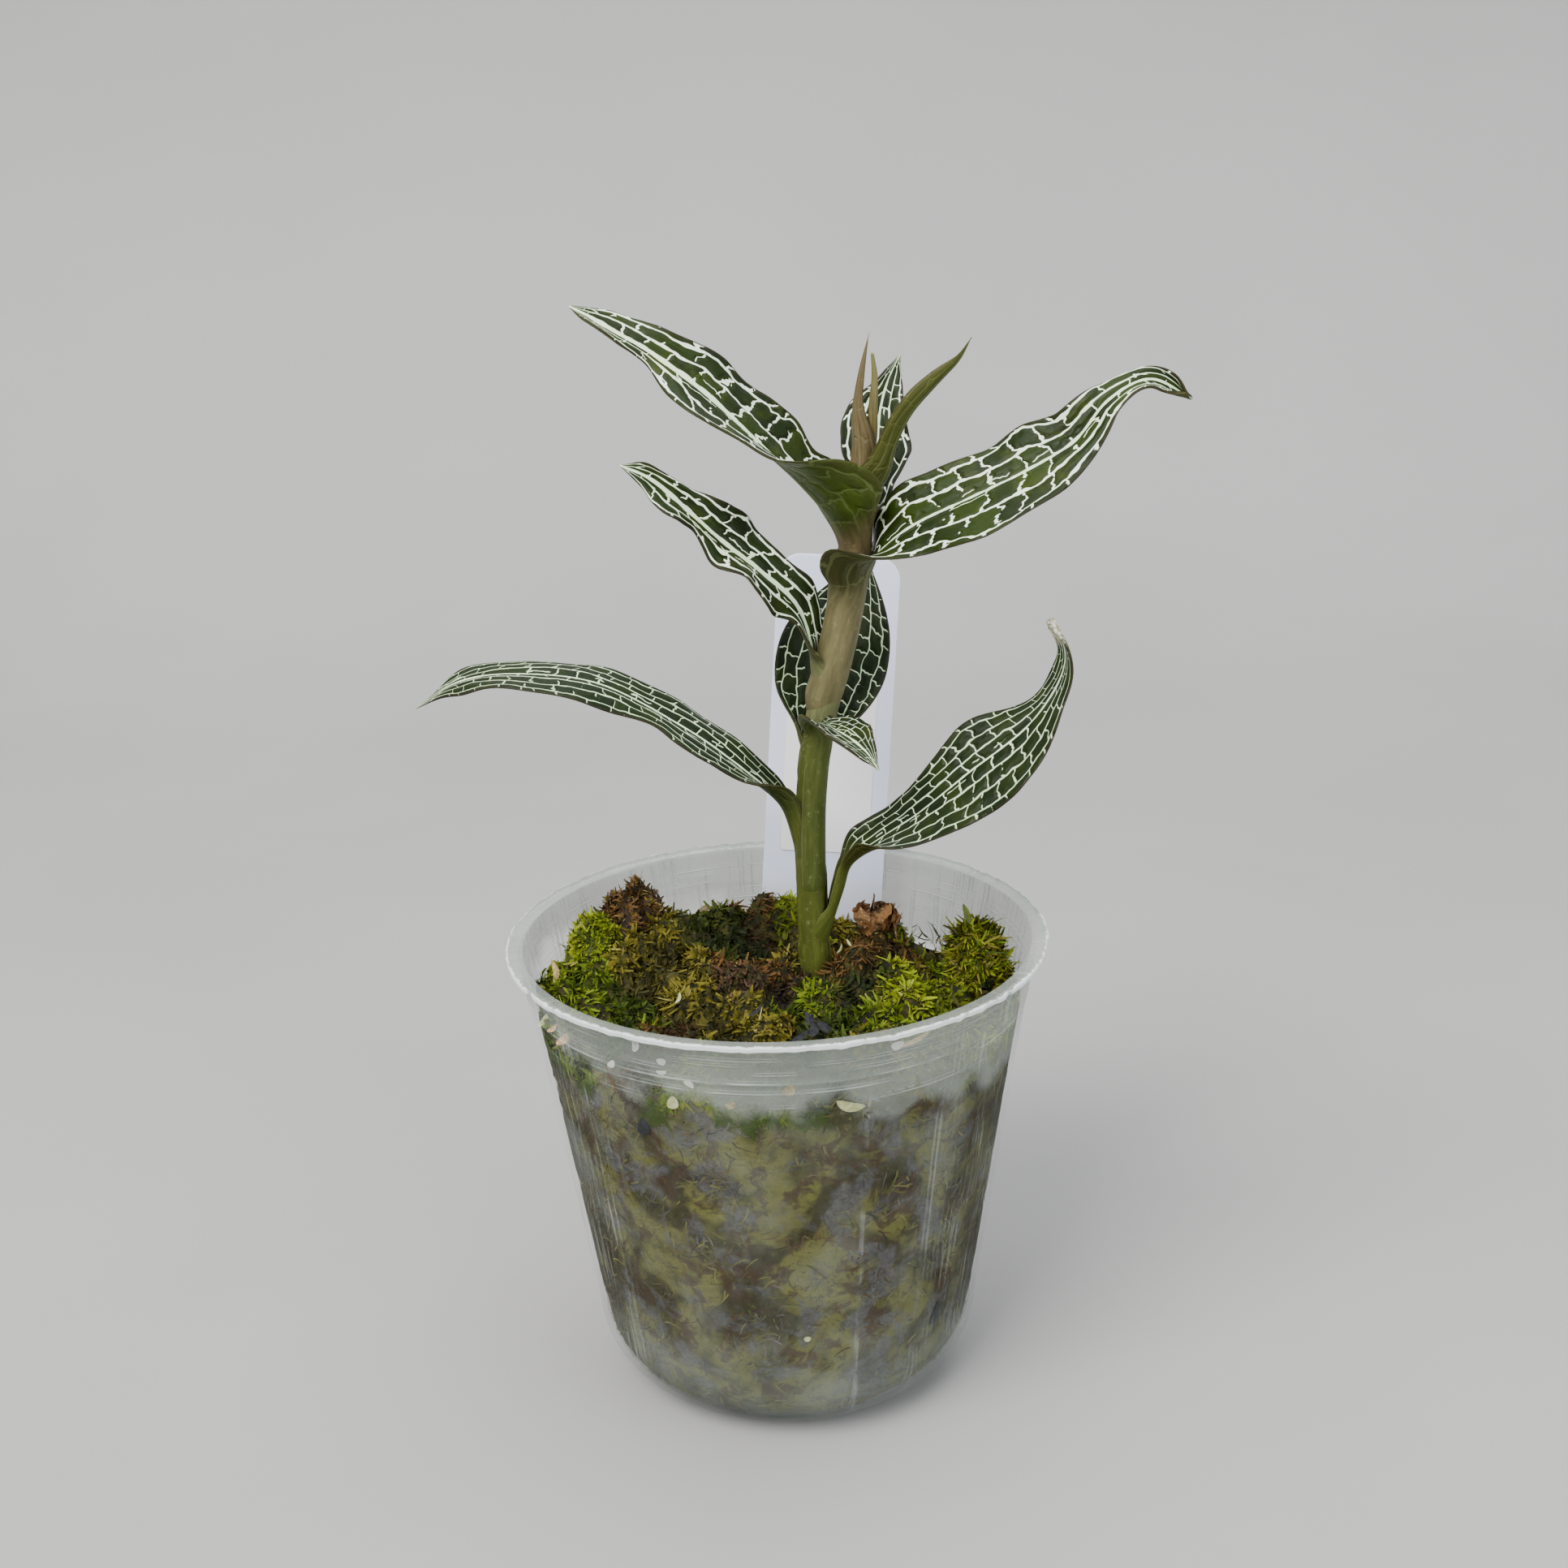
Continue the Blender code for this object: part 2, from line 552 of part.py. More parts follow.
def build_stem(name="stem", grow=0.0, collar=0.0):
    """The wrapped stem with its buried end and roots; grow and collar fatten it for the hole."""
    heights = np.linspace(STEM_FOOT, STEM_TOP, STEM_STEPS)
    route = np.array([stem_at(h) for h in heights])
    radii = BURIED_RADIUS + (STEM_RADIUS - BURIED_RADIUS) * smooth_step(heights, 40.0, 44.0)
    radii = radii + grow + collar * smooth_step(heights, 43.5, 45.5)
    mat = material(name, (0.20, 0.26, 0.06), 0.5)
    points, faces = tube(route, radii, STEM_SIDES)
    stem = add_object(name, points, faces, mat)
    collection = bpy.data.collections.new(name + "_roots")
    bpy.context.scene.collection.children.link(collection)
    for number, ends in enumerate(ROOTS):
        start = stem_at(STEM_FOOT + 1.2 + 1.4 * number)
        curve = smooth_route([start, *ends])
        places = np.linspace(0, lengths_along(curve)[-1], 8)
        route = even_rows(curve, places)
        radii = np.linspace(ROOT_RADIUS, 0.6 * ROOT_RADIUS, 8) + grow
        root_points, root_faces = tube(route, radii, ROOT_SIDES)
        root = add_object(f"{name}_root_{number}", root_points, root_faces, mat)
        bpy.context.scene.collection.objects.unlink(root)
        collection.objects.link(root)
    fuse_collection(stem, collection)
    return stem


def sheath_radius(height, low, girth):
    """Radius of a sheath's middle, narrow where it starts inside the one below."""
    filled = smooth_step(height, low + SHEATH_LAP + 0.4, low + SHEATH_LAP + 3.0)
    return SHEATH_START_RADIUS + (girth - SHEATH_START_RADIUS) * filled


def blade_share(share, widest, taper):
    """Outline of a blade: 0 at its ends and 1 where it is widest; taper thins its tip."""
    rise = taper * widest / (1 - widest)
    peak = widest ** rise * (1 - widest) ** taper
    share = np.clip(share, 0.0, 1.0)
    return share ** rise * (1 - share) ** taper / peak


def leaf_rows(leaf, rows):
    """Stations along a leaf: midrib place, frame, width, turn and thickness at each."""
    low, mouth = leaf["sheath"]
    girth = leaf["girth"]
    out = direction(leaf["side"], 0)
    controls = []
    for height in np.linspace(low, mouth, 5):
        place = stem_at(height) + out * float(sheath_radius(height, low, girth))
        controls.append([*place, *-out])
    for x, y, z, azimuth, elevation in leaf["stops"]:
        controls.append([x, y, z, *direction(azimuth, elevation)])
    curve = smooth_route(controls)
    along = lengths_along(curve)
    mouth_place = along[4 * 12]
    total = along[-1]
    inside = max(4, int(rows * mouth_place / total))
    outside = mouth_place + (total - mouth_place) * np.linspace(0, 1, rows - inside) ** ROW_SPREAD
    places = np.concatenate([np.linspace(0, mouth_place, inside, endpoint=False), outside])
    stations = even_rows(curve, places)
    middle = stations[:, :3]
    ahead = unit(even_rows(curve, places + 0.05)[:, :3] - even_rows(curve, places - 0.05)[:, :3])
    face = stations[:, 3:6] - ahead * np.sum(stations[:, 3:6] * ahead, axis=1, keepdims=True)
    face = unit(face)
    across = np.cross(ahead, face)
    free = (places - mouth_place) / (total - mouth_place)
    blade = (free - leaf["neck"]) / (1 - leaf["neck"])
    heights = np.interp(places, along, np.interp(np.arange(len(curve)), [0, 4 * 12], [low, mouth]))
    tube_width = math.radians(SHEATH_TURN) * sheath_radius(heights, low, girth)
    opened = smooth_step(places - mouth_place, -1.0, leaf["opening"])
    to_blade = smooth_step(blade, 0.0, leaf["open_by"])
    outline = blade_share(blade, leaf["widest"], leaf["taper"])
    wide = leaf["neck_width"] * (1 - to_blade) + leaf["width"] * outline
    width = np.maximum(tube_width * (1 - opened) + wide * opened, 0.5)
    turn = SHEATH_TURN * (1 - opened) + opened * (
        leaf["neck_turn"] * (1 - to_blade) + leaf["cup"] * to_blade)
    thickness = SHEATH_THICKNESS + (BLADE_THICKNESS - SHEATH_THICKNESS) * smooth_step(free, 0.02, 0.2)
    return middle, ahead, face, across, width, np.radians(turn), thickness, blade


def leaf_sheet(leaf, rows, columns=BLADE_COLUMNS):
    """The leaf's middle surface as a grid of points, with the way its upper side faces."""
    middle, ahead, face, across, width, turn, thickness, blade = leaf_rows(leaf, rows)
    height, count, phase_a, phase_b = leaf["wave"]
    shares = np.linspace(-1, 1, columns + 1)
    lopsided = leaf["skew"] * np.sign(shares)[None, :] * smooth_step(blade, 0.0, 0.3)[:, None]
    arc = shares[None, :] * width[:, None] / 2 * (1 + lopsided)
    bend = (turn / width)[:, None]
    sideways = np.sin(bend * arc) / bend
    upwards = (1 - np.cos(bend * arc)) / bend
    phase = np.where(shares < 0, phase_a, phase_b)
    swell = smooth_step(blade, 0.05, 0.3) * (1 - smooth_step(blade, 0.8, 1.0))
    ripple = height * swell[:, None] * shares[None, :] ** 2 * np.sin(
        2 * math.pi * (count * np.clip(blade, 0, 1)[:, None] + phase[None, :]))
    grid = (middle[:, None, :] + across[:, None, :] * sideways[..., None]
            + face[:, None, :] * (upwards + ripple)[..., None])
    return grid, face, thickness


def from_stem(points):
    """The stem's centre at the height of each point, and the point's reach and bearing from it."""
    centre = np.stack([np.interp(points[:, 2], STEM_CURVE[:, 2], STEM_CURVE[:, k]) for k in (0, 1)],
                      axis=1)
    away = points[:, :2] - centre
    return centre, np.hypot(away[:, 0], away[:, 1]), np.arctan2(away[:, 1], away[:, 0])


def shortfall(grid, thickness, wrapped):
    """How far each point must move outwards to clear the younger leaves near it."""
    points = grid.reshape(-1, 3)
    reach, bearing = from_stem(points)[1:]
    turn = np.abs((bearing[:, None] - wrapped[:, 2] + math.pi) % (2 * math.pi) - math.pi)
    near = np.abs(points[:, 2:3] - wrapped[:, 0]) < CLASP_REACH
    near &= turn * np.maximum(reach, 1.0)[:, None] < CLASP_REACH
    needed = np.where(near, wrapped[:, 1] + CLASP_GAP, 0.0).max(axis=1)
    needed += np.repeat(thickness / 2, grid.shape[1])
    push = np.where(reach < CLASP_LIMIT, np.maximum(needed - reach, 0.0), 0.0)
    return push.reshape(grid.shape[:2])


def give_way(grid, thickness, wrapped):
    """Push a leaf outwards from the stem until it clears the younger leaves it wraps."""
    grid = grid.copy()
    for _ in range(CLASP_PASSES):
        push = shortfall(grid, thickness, wrapped)
        between = shortfall((grid[1:] + grid[:-1]) / 2, thickness[1:], wrapped)
        between = np.minimum(between, CLASP_STEP)
        push[1:] = np.maximum(push[1:], between)
        push[:-1] = np.maximum(push[:-1], between)
        bearing = from_stem(grid.reshape(-1, 3))[2].reshape(push.shape)
        grid[..., 0] += push * np.cos(bearing)
        grid[..., 1] += push * np.sin(bearing)
    return grid


def wrapped_points(grid, thickness):
    """The parts of a leaf near the stem, as rows of height, outer reach and bearing."""
    places = np.concatenate([grid, thickness[:, None, None] * np.ones(grid.shape[:2] + (1,))], axis=2)
    for axis in (0, 1):
        between = (np.delete(places, 0, axis) + np.delete(places, -1, axis)) / 2
        places = np.concatenate([places, between], axis)
    places = places.reshape(-1, 4)
    reach, bearing = from_stem(places[:, :3])[1:]
    rows = np.stack([places[:, 2], reach + places[:, 3] / 2, bearing], axis=1)
    return rows[reach < CLASP_LIMIT]


def leaf_sheets():
    """Every leaf's surface and thickness, worked out from the youngest leaf to the oldest."""
    turns = np.radians(np.arange(0, 360, 30))
    wrapped = np.array([(h, STEM_RADIUS, t) for h in np.arange(44.0, STEM_TOP, 1.0) for t in turns])
    sheets = {}
    for name in reversed(LEAVES):
        leaf = {**PLAIN_LEAF, **LEAVES[name]}
        grid, face, thickness = leaf_sheet(leaf, leaf["rows"])
        grid = give_way(grid, thickness, wrapped)
        wrapped = np.vstack([wrapped, wrapped_points(grid, thickness)])
        sheets[name] = (grid, face, thickness)
    return sheets


def build_leaf(name, sheet, mat):
    grid, face, thickness = sheet
    rows, count = grid.shape[:2]
    columns = count - 1
    normal = unit(np.cross(np.gradient(grid, axis=1), np.gradient(grid, axis=0)))
    normal *= np.sign(np.sum(normal[:, columns // 2] * face, axis=1))[:, None, None]
    offset = normal * thickness[:, None, None] / 2
    points = np.concatenate([(grid + offset).reshape(-1, 3), (grid - offset).reshape(-1, 3)])
    under = rows * count
    faces = []
    for i in range(rows - 1):
        for j in range(columns):
            a = i * count + j
            b = a + count
            corners = (a, a + 1, b + 1, b)
            halves = ((0, 1, 2), (0, 2, 3)) if (i + j) % 2 else ((0, 1, 3), (1, 2, 3))
            for half in halves:
                faces.append(tuple(corners[k] for k in half))
                faces.append(tuple(corners[k] + under for k in reversed(half)))
    edge = [(i * count, (i + 1) * count) for i in range(rows - 1)]
    edge += [((i + 1) * count + columns, i * count + columns) for i in range(rows - 1)]
    edge += [(j + 1, j) for j in range(columns)]
    edge += [((rows - 1) * count + j, (rows - 1) * count + j + 1) for j in range(columns)]
    for a, b in edge:
        faces.append((a, b, b + under, a + under))
    obj = add_object(name, points, faces, mat)
    obj.data.shade_smooth()
    obj.data.set_sharp_from_angle(angle=math.radians(50))
    return obj


def build_spear_inner():
    """The youngest leaf, rolled into a slim pointed cone."""
    curve = smooth_route(SPEAR_INNER)
    places = np.linspace(0, lengths_along(curve)[-1], 10)
    route = even_rows(curve, places)
    share = places / places[-1]
    radii = SPEAR_INNER_RADIUS * (1 - 0.75 * share ** 2)
    points, faces = tube(route, radii, 8)
    spear = add_object("spear_inner", points, faces, material("spear_inner", (0.20, 0.14, 0.07), 0.45))
    spear.data.shade_smooth()
    return spear


def label_matrix():
    """Frame of the label: X across, Z up along it, its origin where it leaves the moss."""
    lean = Matrix.Rotation(math.radians(LABEL_LEAN_RIGHT), 4, "Y")
    back = Matrix.Rotation(math.radians(-LABEL_LEAN_BACK), 4, "X")
    return Matrix.Translation(Vector(LABEL_FOOT)) @ back @ lean


def label_outline(grow=0.0):
    half = LABEL_WIDTH / 2 + grow
    top = LABEL_SHOWN + grow
    foot = LABEL_SHOWN - LABEL_LENGTH - grow
    outline = [(0.0, foot), (half, foot + LABEL_POINT)]
    for corner in (0, 1):
        for step in range(5):
            angle = math.pi / 2 * (corner + step / 4)
            centre = (half - LABEL_CORNER) * (1 if corner == 0 else -1)
            outline.append((centre + LABEL_CORNER * math.cos(angle),
                            top - LABEL_CORNER + LABEL_CORNER * math.sin(angle)))
    outline.append((-half, foot + LABEL_POINT))
    return outline


def build_plate(name, outline, front, back, mat):
    """A flat plate in the label's frame, from y = front to y = back."""
    count = len(outline)
    place = label_matrix()
    points = [place @ Vector((x, front, z)) for x, z in outline]
    points += [place @ Vector((x, back, z)) for x, z in outline]
    faces = [tuple(range(count)), tuple(range(2 * count - 1, count - 1, -1))]
    for k in range(count):
        n = (k + 1) % count
        faces.append((k, n, n + count, k + count))
    return add_object(name, points, faces, mat)


def build_label():
    plastic = material("label_plastic", (0.72, 0.74, 0.92), 0.35)
    half = LABEL_THICKNESS / 2
    build_plate("plant_label", label_outline(), -half, half, plastic)
    low = STICKER_RISE
    high = STICKER_RISE + STICKER_LENGTH
    side = STICKER_WIDTH / 2
    outline = [(-side, low), (side, low), (side, high), (-side, high)]
    front = -half - GAP
    build_plate("label_sticker", outline, front - STICKER_THICKNESS, front,
                material("sticker_paper", (0.84, 0.83, 0.78), 0.6))
    return build_plate("label_cutter", label_outline(GAP), -half - GAP, half + GAP, plastic)


def main():
    clear_scene()
    build_pot()
    moss = build_moss()
    for name, shape in TUFTS.items():
        build_tuft(name, shape)
    build_chip()
    build_stem()
    boolean(moss, build_stem("stem_cutter", GAP, COLLAR_RADIUS), "DIFFERENCE", "stem_hole")
    boolean(moss, build_label(), "DIFFERENCE", "label_slot")
    for name, sheet in leaf_sheets().items():
        build_leaf(name, sheet, material(name, (0.06, 0.11, 0.03), 0.4))
    build_spear_inner()


main()
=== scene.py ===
"""Looks of the jewel orchid in its see-through nursery pot.

Sizes are in millimetres unless a name says otherwise, and places are in the part's own frame:
+Z up, the label at the back towards +Y, the origin at the centre of the pot's base.
"""

import math
import random

import bpy
import numpy as np
from mathutils import Matrix, Vector, noise


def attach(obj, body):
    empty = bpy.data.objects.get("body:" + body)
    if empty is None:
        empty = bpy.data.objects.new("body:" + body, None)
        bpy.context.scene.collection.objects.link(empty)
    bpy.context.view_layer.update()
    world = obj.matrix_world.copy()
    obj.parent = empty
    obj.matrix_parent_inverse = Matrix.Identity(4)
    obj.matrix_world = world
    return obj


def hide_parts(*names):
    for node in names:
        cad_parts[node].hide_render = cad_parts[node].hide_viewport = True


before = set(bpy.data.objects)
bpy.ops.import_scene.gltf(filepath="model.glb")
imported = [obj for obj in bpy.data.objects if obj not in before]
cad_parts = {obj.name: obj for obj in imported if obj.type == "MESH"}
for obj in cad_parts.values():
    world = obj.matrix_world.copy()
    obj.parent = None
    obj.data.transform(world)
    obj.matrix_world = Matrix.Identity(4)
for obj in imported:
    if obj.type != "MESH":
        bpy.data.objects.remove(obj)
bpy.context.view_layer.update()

MM = 0.001

# Camera, found from the pot's ellipses in the photograph
CAMERA_PLACE = (1.27, -208.83, 137.82)
CAMERA_RIGHT = (0.9996, -0.0092, -0.0282)
CAMERA_UP = (0.0297, 0.3105, 0.9501)
CAMERA_LENS = 46.58
CAMERA_SENSOR = 36.0

# Pot
POT_HEIGHT = 52.5
RIM_RADIUS = 30.0
RIM_THICKNESS = 0.7
RIM_ROUGHNESS = 0.16
WALL_TOP_RADIUS = 28.7
WALL_FOOT_RADIUS = 20.7
BASE_BEND = 9.0
WALL = 0.6
GAP = 0.3
RINGS = ((49.8, 0.16), (48.7, 0.08), (47.4, 0.16), (46.1, 0.07))
RING_HALF_WIDTH = 0.35
POT_SEGMENTS = 240
BEND_STEPS = 14
DRAIN_HOLES = 8
DRAIN_RADIUS = 1.5
DRAIN_CIRCLE = 9.0
DRAIN_TURN = 5.0

# Moss
MOSS_LEVEL = 46.0
MOSS_EDGE_DROP = 1.5
MOSS_CLUMPS = (
    (-15.0, 12.0, 4.2, 9.0),
    (-14.5, 1.5, 3.2, 5.0),
    (-7.3, 9.0, 2.6, 4.0),
    (-2.6, 13.0, 3.4, 3.6),
    (1.0, 14.5, 4.4, 3.4),
    (-21.5, -2.0, 3.6, 5.0),
    (-4.0, -6.0, 3.6, 6.0),
    (9.5, -3.0, 4.4, 4.6),
    (11.5, 6.5, 4.2, 4.2),
    (17.0, -7.0, 2.6, 6.0),
    (-9.5, -15.0, 2.2, 6.0),
    (6.0, -16.0, 2.4, 6.0),
    (17.0, 15.0, -5.5, 7.0),
    (-10.0, 20.0, -3.0, 5.0),
)
MOSS_ROUGHNESS = 1.3
MOSS_GRAIN = 0.30
MOSS_SEGMENTS = 168
MOSS_RINGS = 52
TUFTS = {
    "moss_tuft_brown_left": (-17.6, 12.8, 4.2, 2.0),
    "moss_tuft_green_left": (-21.0, 3.2, 3.4, 3.4),
    "moss_tuft_right": (22.4, 0.8, 3.6, 5.0),
}
CHIP_CENTRE = (11.4, 6.0)
CHIP_RADIUS = 3.2
CHIP_HEIGHT = 3.8

# Stem and leaves, the same numbers as the solids
STEM_LINE = (
    (6.6, 1.6, 28.0),
    (4.9, 0.4, 38.0),
    (4.2, 0.0, 48.0),
    (4.0, 0.0, 64.5),
    (5.1, 0.0, 75.5),
    (8.1, 0.0, 87.9),
    (9.6, 0.0, 97.4),
    (10.4, 0.0, 105.0),
)
STEM_TOP = 103.0
STEM_RADIUS = 0.55
SPEAR_INNER = ((10.6, 0.0, 103.4), (11.3, 0.0, 106.6), (11.5, 0.0, 109.9), (11.7, 0.0, 112.8),
               (11.5, 0.0, 115.2))
SPEAR_INNER_RADIUS = 0.62
SHEATH_START = 1.08             # radius of a sheath where it starts inside the one below
SHEATH_TURN = 378.0             # its margins overlap
SHEATH_SPIRAL = 0.13
SHEATH_LAP = 1.0
LEAVES = {
    "leaf_1": dict(
        sheath=(42.4, 51.6), side=-10.0,
        stops=((7.3, -0.8, 57.5, 185, 30), (8.4, -1.4, 60.9, 190, 40), (11.5, -2.2, 63.9, 210, 50),
               (15.5, -3.4, 67.0, 235, 48), (20.7, -4.6, 71.7, 238, 42), (26.4, -5.2, 76.4, 230, 35),
               (29.8, -5.0, 80.8, 205, 25), (30.9, -4.4, 84.4, 190, 10), (29.6, -3.4, 87.9, 190, -20)),
        neck=0.20, neck_width=3.0, neck_turn=190, width=11.5, widest=0.42, taper=1.3, cup=30,
        skew=0.2, wave=(0.4, 2.5, 0.2, 0.6),
        edges=((1.7, 3.0, 3.0, 3.0, 3.5, 3.6, 3.6, 3.9, 4.4, 4.9, 4.9, 4.2, 3.1, 2.1, 1.6, 1.5, 1.5, 1.3, 0.8),
               (1.7, 3.3, 5.0, 5.2, 5.1, 5.0, 5.4, 5.9, 6.1, 6.3, 6.3, 5.7, 5.0, 4.2, 3.1, 2.4, 2.0, 1.6, 0.9))),
    "leaf_2": dict(
        sheath=(42.4, 60.0), side=180.0,
        stops=((2.2, 0.3, 63.0, 10, 5), (0.6, -0.2, 67.8, 10, 30), (-3.9, -1.2, 72.6, -60, 60),
               (-9.5, -2.0, 77.2, -80, 70), (-17.8, -2.0, 82.0, -88, 80), (-26.1, -1.0, 83.1, -90, 82),
               (-32.6, 0.2, 82.2, -95, 78), (-38.0, 1.0, 79.0, -110, 75)),
        neck=0.12, neck_width=4.6, neck_turn=180, width=9.6, widest=0.50, cup=-14, skew=-0.10,
        wave=(0.6, 2.5, 0.5, 0.1),
        edges=((2.4, 3.2, 3.4, 2.8, 3.2, 3.7, 3.6, 2.9, 3.1, 3.6, 4.3, 4.9, 5.0, 4.7, 3.9, 2.8, 1.8, 0.8, 0.1),
               (2.2, 2.6, 2.5, 2.7, 3.4, 4.2, 4.2, 3.6, 3.2, 3.2, 4.0, 5.0, 5.2, 4.4, 3.2, 2.3, 1.5, 0.7, 0.1))),
    "leaf_4": dict(
        sheath=(52.0, 72.6), side=62.0,
        stops=((5.0, 2.4, 75.0, -85, 15), (5.4, 3.6, 77.2, -85, 22), (6.4, 5.5, 80.3, -85, 28),
               (8.0, 8.0, 84.0, -88, 30), (9.7, 10.5, 87.8, -90, 32), (11.3, 12.5, 91.7, -92, 28)),
        neck=0.04, neck_width=3.0, neck_turn=170, width=12.6, widest=0.42, cup=50,
        wave=(0.4, 2.0, 0.3, 0.8)),
    "leaf_3": dict(
        sheath=(64.5, 75.0), side=-75.0,
        stops=((4.7, -2.3, 76.8, 90, 40), (6.2, -5.0, 77.4, 60, 75), (8.1, -8.5, 77.3, -75, 80),
               (9.7, -11.0, 76.4, -75, 65), (10.9, -13.0, 75.0, -75, 50)),
        neck=0.06, neck_width=2.6, neck_turn=150, width=5.6, widest=0.40, taper=1.3, cup=50,
        wave=(0.3, 1.5, 0.0, 0.4), opening=2.2,
        edges=((1.9, 1.5, 2.0, 2.8, 3.5, 3.7, 3.6, 3.5, 3.4, 3.3, 3.1, 2.7, 2.3, 1.8, 1.4, 1.0, 0.6, 0.3, 0.1),
               (1.6, 1.5, 1.5, 1.5, 1.6, 1.8, 2.0, 2.4, 2.9, 3.4, 3.6, 3.5, 3.2, 2.7, 2.1, 1.5, 1.0, 0.4, 0.1))),
    "leaf_5": dict(
        sheath=(70.5, 80.4), side=190.0,
        stops=((4.6, -0.2, 82.7, 0, 15), (4.4, -0.6, 85.5, -30, 25), (3.1, -1.6, 89.9, -60, 42),
               (-0.6, -2.6, 93.8, -72, 50), (-5.3, -3.4, 98.0, -75, 52), (-10.5, -3.4, 103.0, -78, 48),
               (-14.4, -3.2, 105.1, -90, 60)),
        neck=0.10, neck_width=3.6, neck_turn=180, width=9.1, widest=0.47, taper=1.0, cup=36,
        wave=(0.9, 3.0, 0.0, 0.35),
        edges=((1.5, 1.7, 2.0, 2.1, 2.6, 3.3, 3.9, 3.5, 3.1, 3.2, 3.0, 2.1, 1.6, 2.5, 3.3, 2.5, 1.4, 0.8, 0.1),
               (1.5, 2.0, 2.4, 3.1, 3.1, 2.7, 2.8, 3.4, 4.4, 4.7, 4.3, 3.6, 2.9, 2.8, 2.5, 2.0, 1.6, 1.1, 0.1))),
    "leaf_6": dict(
        sheath=(72.5, 89.6), side=-35.0, girth=1.75,
        stops=((10.6, -2.6, 93.8, 150, 45), (12.6, -3.6, 96.4, 205, 52), (15.7, -4.6, 98.7, 230, 52),
               (20.9, -5.8, 101.3, 238, 48), (26.1, -6.4, 103.8, 238, 48), (31.1, -6.4, 106.7, 240, 46),
               (34.5, -5.8, 110.5, 243, 40), (38.8, -5.0, 112.4, 256, 36), (43.3, -4.2, 110.2, 262, 25)),
        neck=0.04, neck_width=6.5, neck_turn=150, width=13.0, widest=0.34, taper=1.7, cup=40,
        skew=0.24, wave=(0.7, 2.5, 0.6, 0.2),
        edges=((2.6, 3.4, 4.8, 4.8, 5.0, 4.9, 5.0, 5.0, 5.1, 5.3, 5.0, 4.1, 3.3, 2.7, 2.1, 1.8, 1.6, 1.3, 0.1),
               (4.8, 6.0, 7.0, 6.6, 5.6, 6.0, 7.4, 8.3, 8.0, 7.2, 5.8, 4.2, 3.2, 2.8, 2.2, 1.8, 1.7, 1.4, 0.1))),
    "leaf_7": dict(
        sheath=(81.5, 95.6), side=225.0,
        stops=((6.6, -2.0, 99.4, 30, 20), (3.8, -3.0, 103.1, 15, 46), (-0.6, -3.8, 107.5, -30, 66),
               (-5.4, -3.8, 112.2, -62, 56), (-9.5, -3.2, 115.4, -72, 50), (-14.1, -2.2, 118.2, -75, 50),
               (-18.8, -1.2, 120.8, -78, 55)),
        neck=0.05, neck_width=12.0, neck_turn=200, open_by=0.46, width=10.4, widest=0.42, taper=1.3,
        cup=30, skew=0.16, wave=(0.7, 2.5, 0.0, 0.5),
        edges=((6.1, 7.4, 7.5, 7.4, 7.2, 6.6, 5.8, 5.2, 5.4, 5.9, 5.8, 4.2, 2.6, 1.5, 1.3, 1.5, 1.6, 1.0, 0.1),
               (7.0, 8.2, 8.4, 7.8, 7.4, 7.5, 7.5, 7.2, 6.7, 6.2, 5.6, 4.6, 3.7, 3.0, 2.8, 2.8, 2.4, 1.2, 0.1))),
    "leaf_8": dict(
        sheath=(88.0, 97.8), side=80.0,
        stops=((11.8, 3.6, 101.8, -90, 8), (12.1, 5.0, 105.0, -90, 16), (12.5, 6.4, 108.2, -90, 20),
               (13.4, 7.4, 111.4, -90, 20), (14.8, 8.0, 114.1, -90, 15)),
        neck=0.05, neck_width=3.0, neck_turn=150, width=8.6, widest=0.5, taper=1.2, cup=50,
        wave=(0.4, 2.0, 0.5, 0.9), opening=3.0,
        edges=((2.9, 2.4, 2.4, 2.6, 2.9, 3.2, 3.6, 3.9, 4.0, 4.1, 4.0, 3.7, 3.3, 2.5, 1.6, 1.0, 0.6, 0.3, 0.1),
               (2.1, 1.8, 1.8, 1.9, 2.1, 2.6, 3.2, 3.7, 3.7, 3.4, 3.1, 2.8, 2.5, 2.3, 2.0, 1.7, 1.2, 0.6, 0.1))),
    "leaf_9": dict(
        sheath=(90.5, 100.4), side=-50.0,
        stops=((12.4, -2.0, 103.2, 135, 5), (13.3, -2.6, 106.4, 135, 15), (14.9, -3.2, 109.6, 135, 25),
               (17.5, -3.4, 112.5, 130, 30), (19.9, -3.2, 114.7, 125, 30), (21.3, -3.0, 116.8, 125, 25)),
        neck=0.05, neck_width=4.6, neck_turn=200, width=3.4, widest=0.35, cup=140,
        wave=(0.1, 2.0, 0.5, 0.9), opening=3.0),
    "spear_outer": dict(
        sheath=(95.0, 102.4), side=180.0, girth=1.3,
        stops=((9.6, 0.1, 106.0, 0, 0), (9.7, 0.1, 109.9, 0, 0), (10.3, 0.1, 113.6, 0, -10),
               (11.2, 0.1, 117.2, 0, -15)),
        neck=0.05, neck_width=5.6, neck_turn=280, open_by=0.6, width=2.0, widest=0.4, cup=200,
        wave=(0.0, 2.0, 0.5, 0.9)),
}
PLAIN_LEAF = dict(girth=1.5, open_by=0.30, taper=1.1, skew=0.0, opening=4.5, slant=1.5, edges=None)
LEAF_ROWS = 141
LEAF_COLUMNS = 40



def direction(azimuth, elevation):
    a = math.radians(azimuth)
    e = math.radians(elevation)
    return np.array([math.cos(a) * math.cos(e), math.sin(a) * math.cos(e), math.sin(e)])


def smooth_step(x, low, high):
    t = np.clip((np.asarray(x, float) - low) / (high - low), 0.0, 1.0)
    return t * t * (3.0 - 2.0 * t)


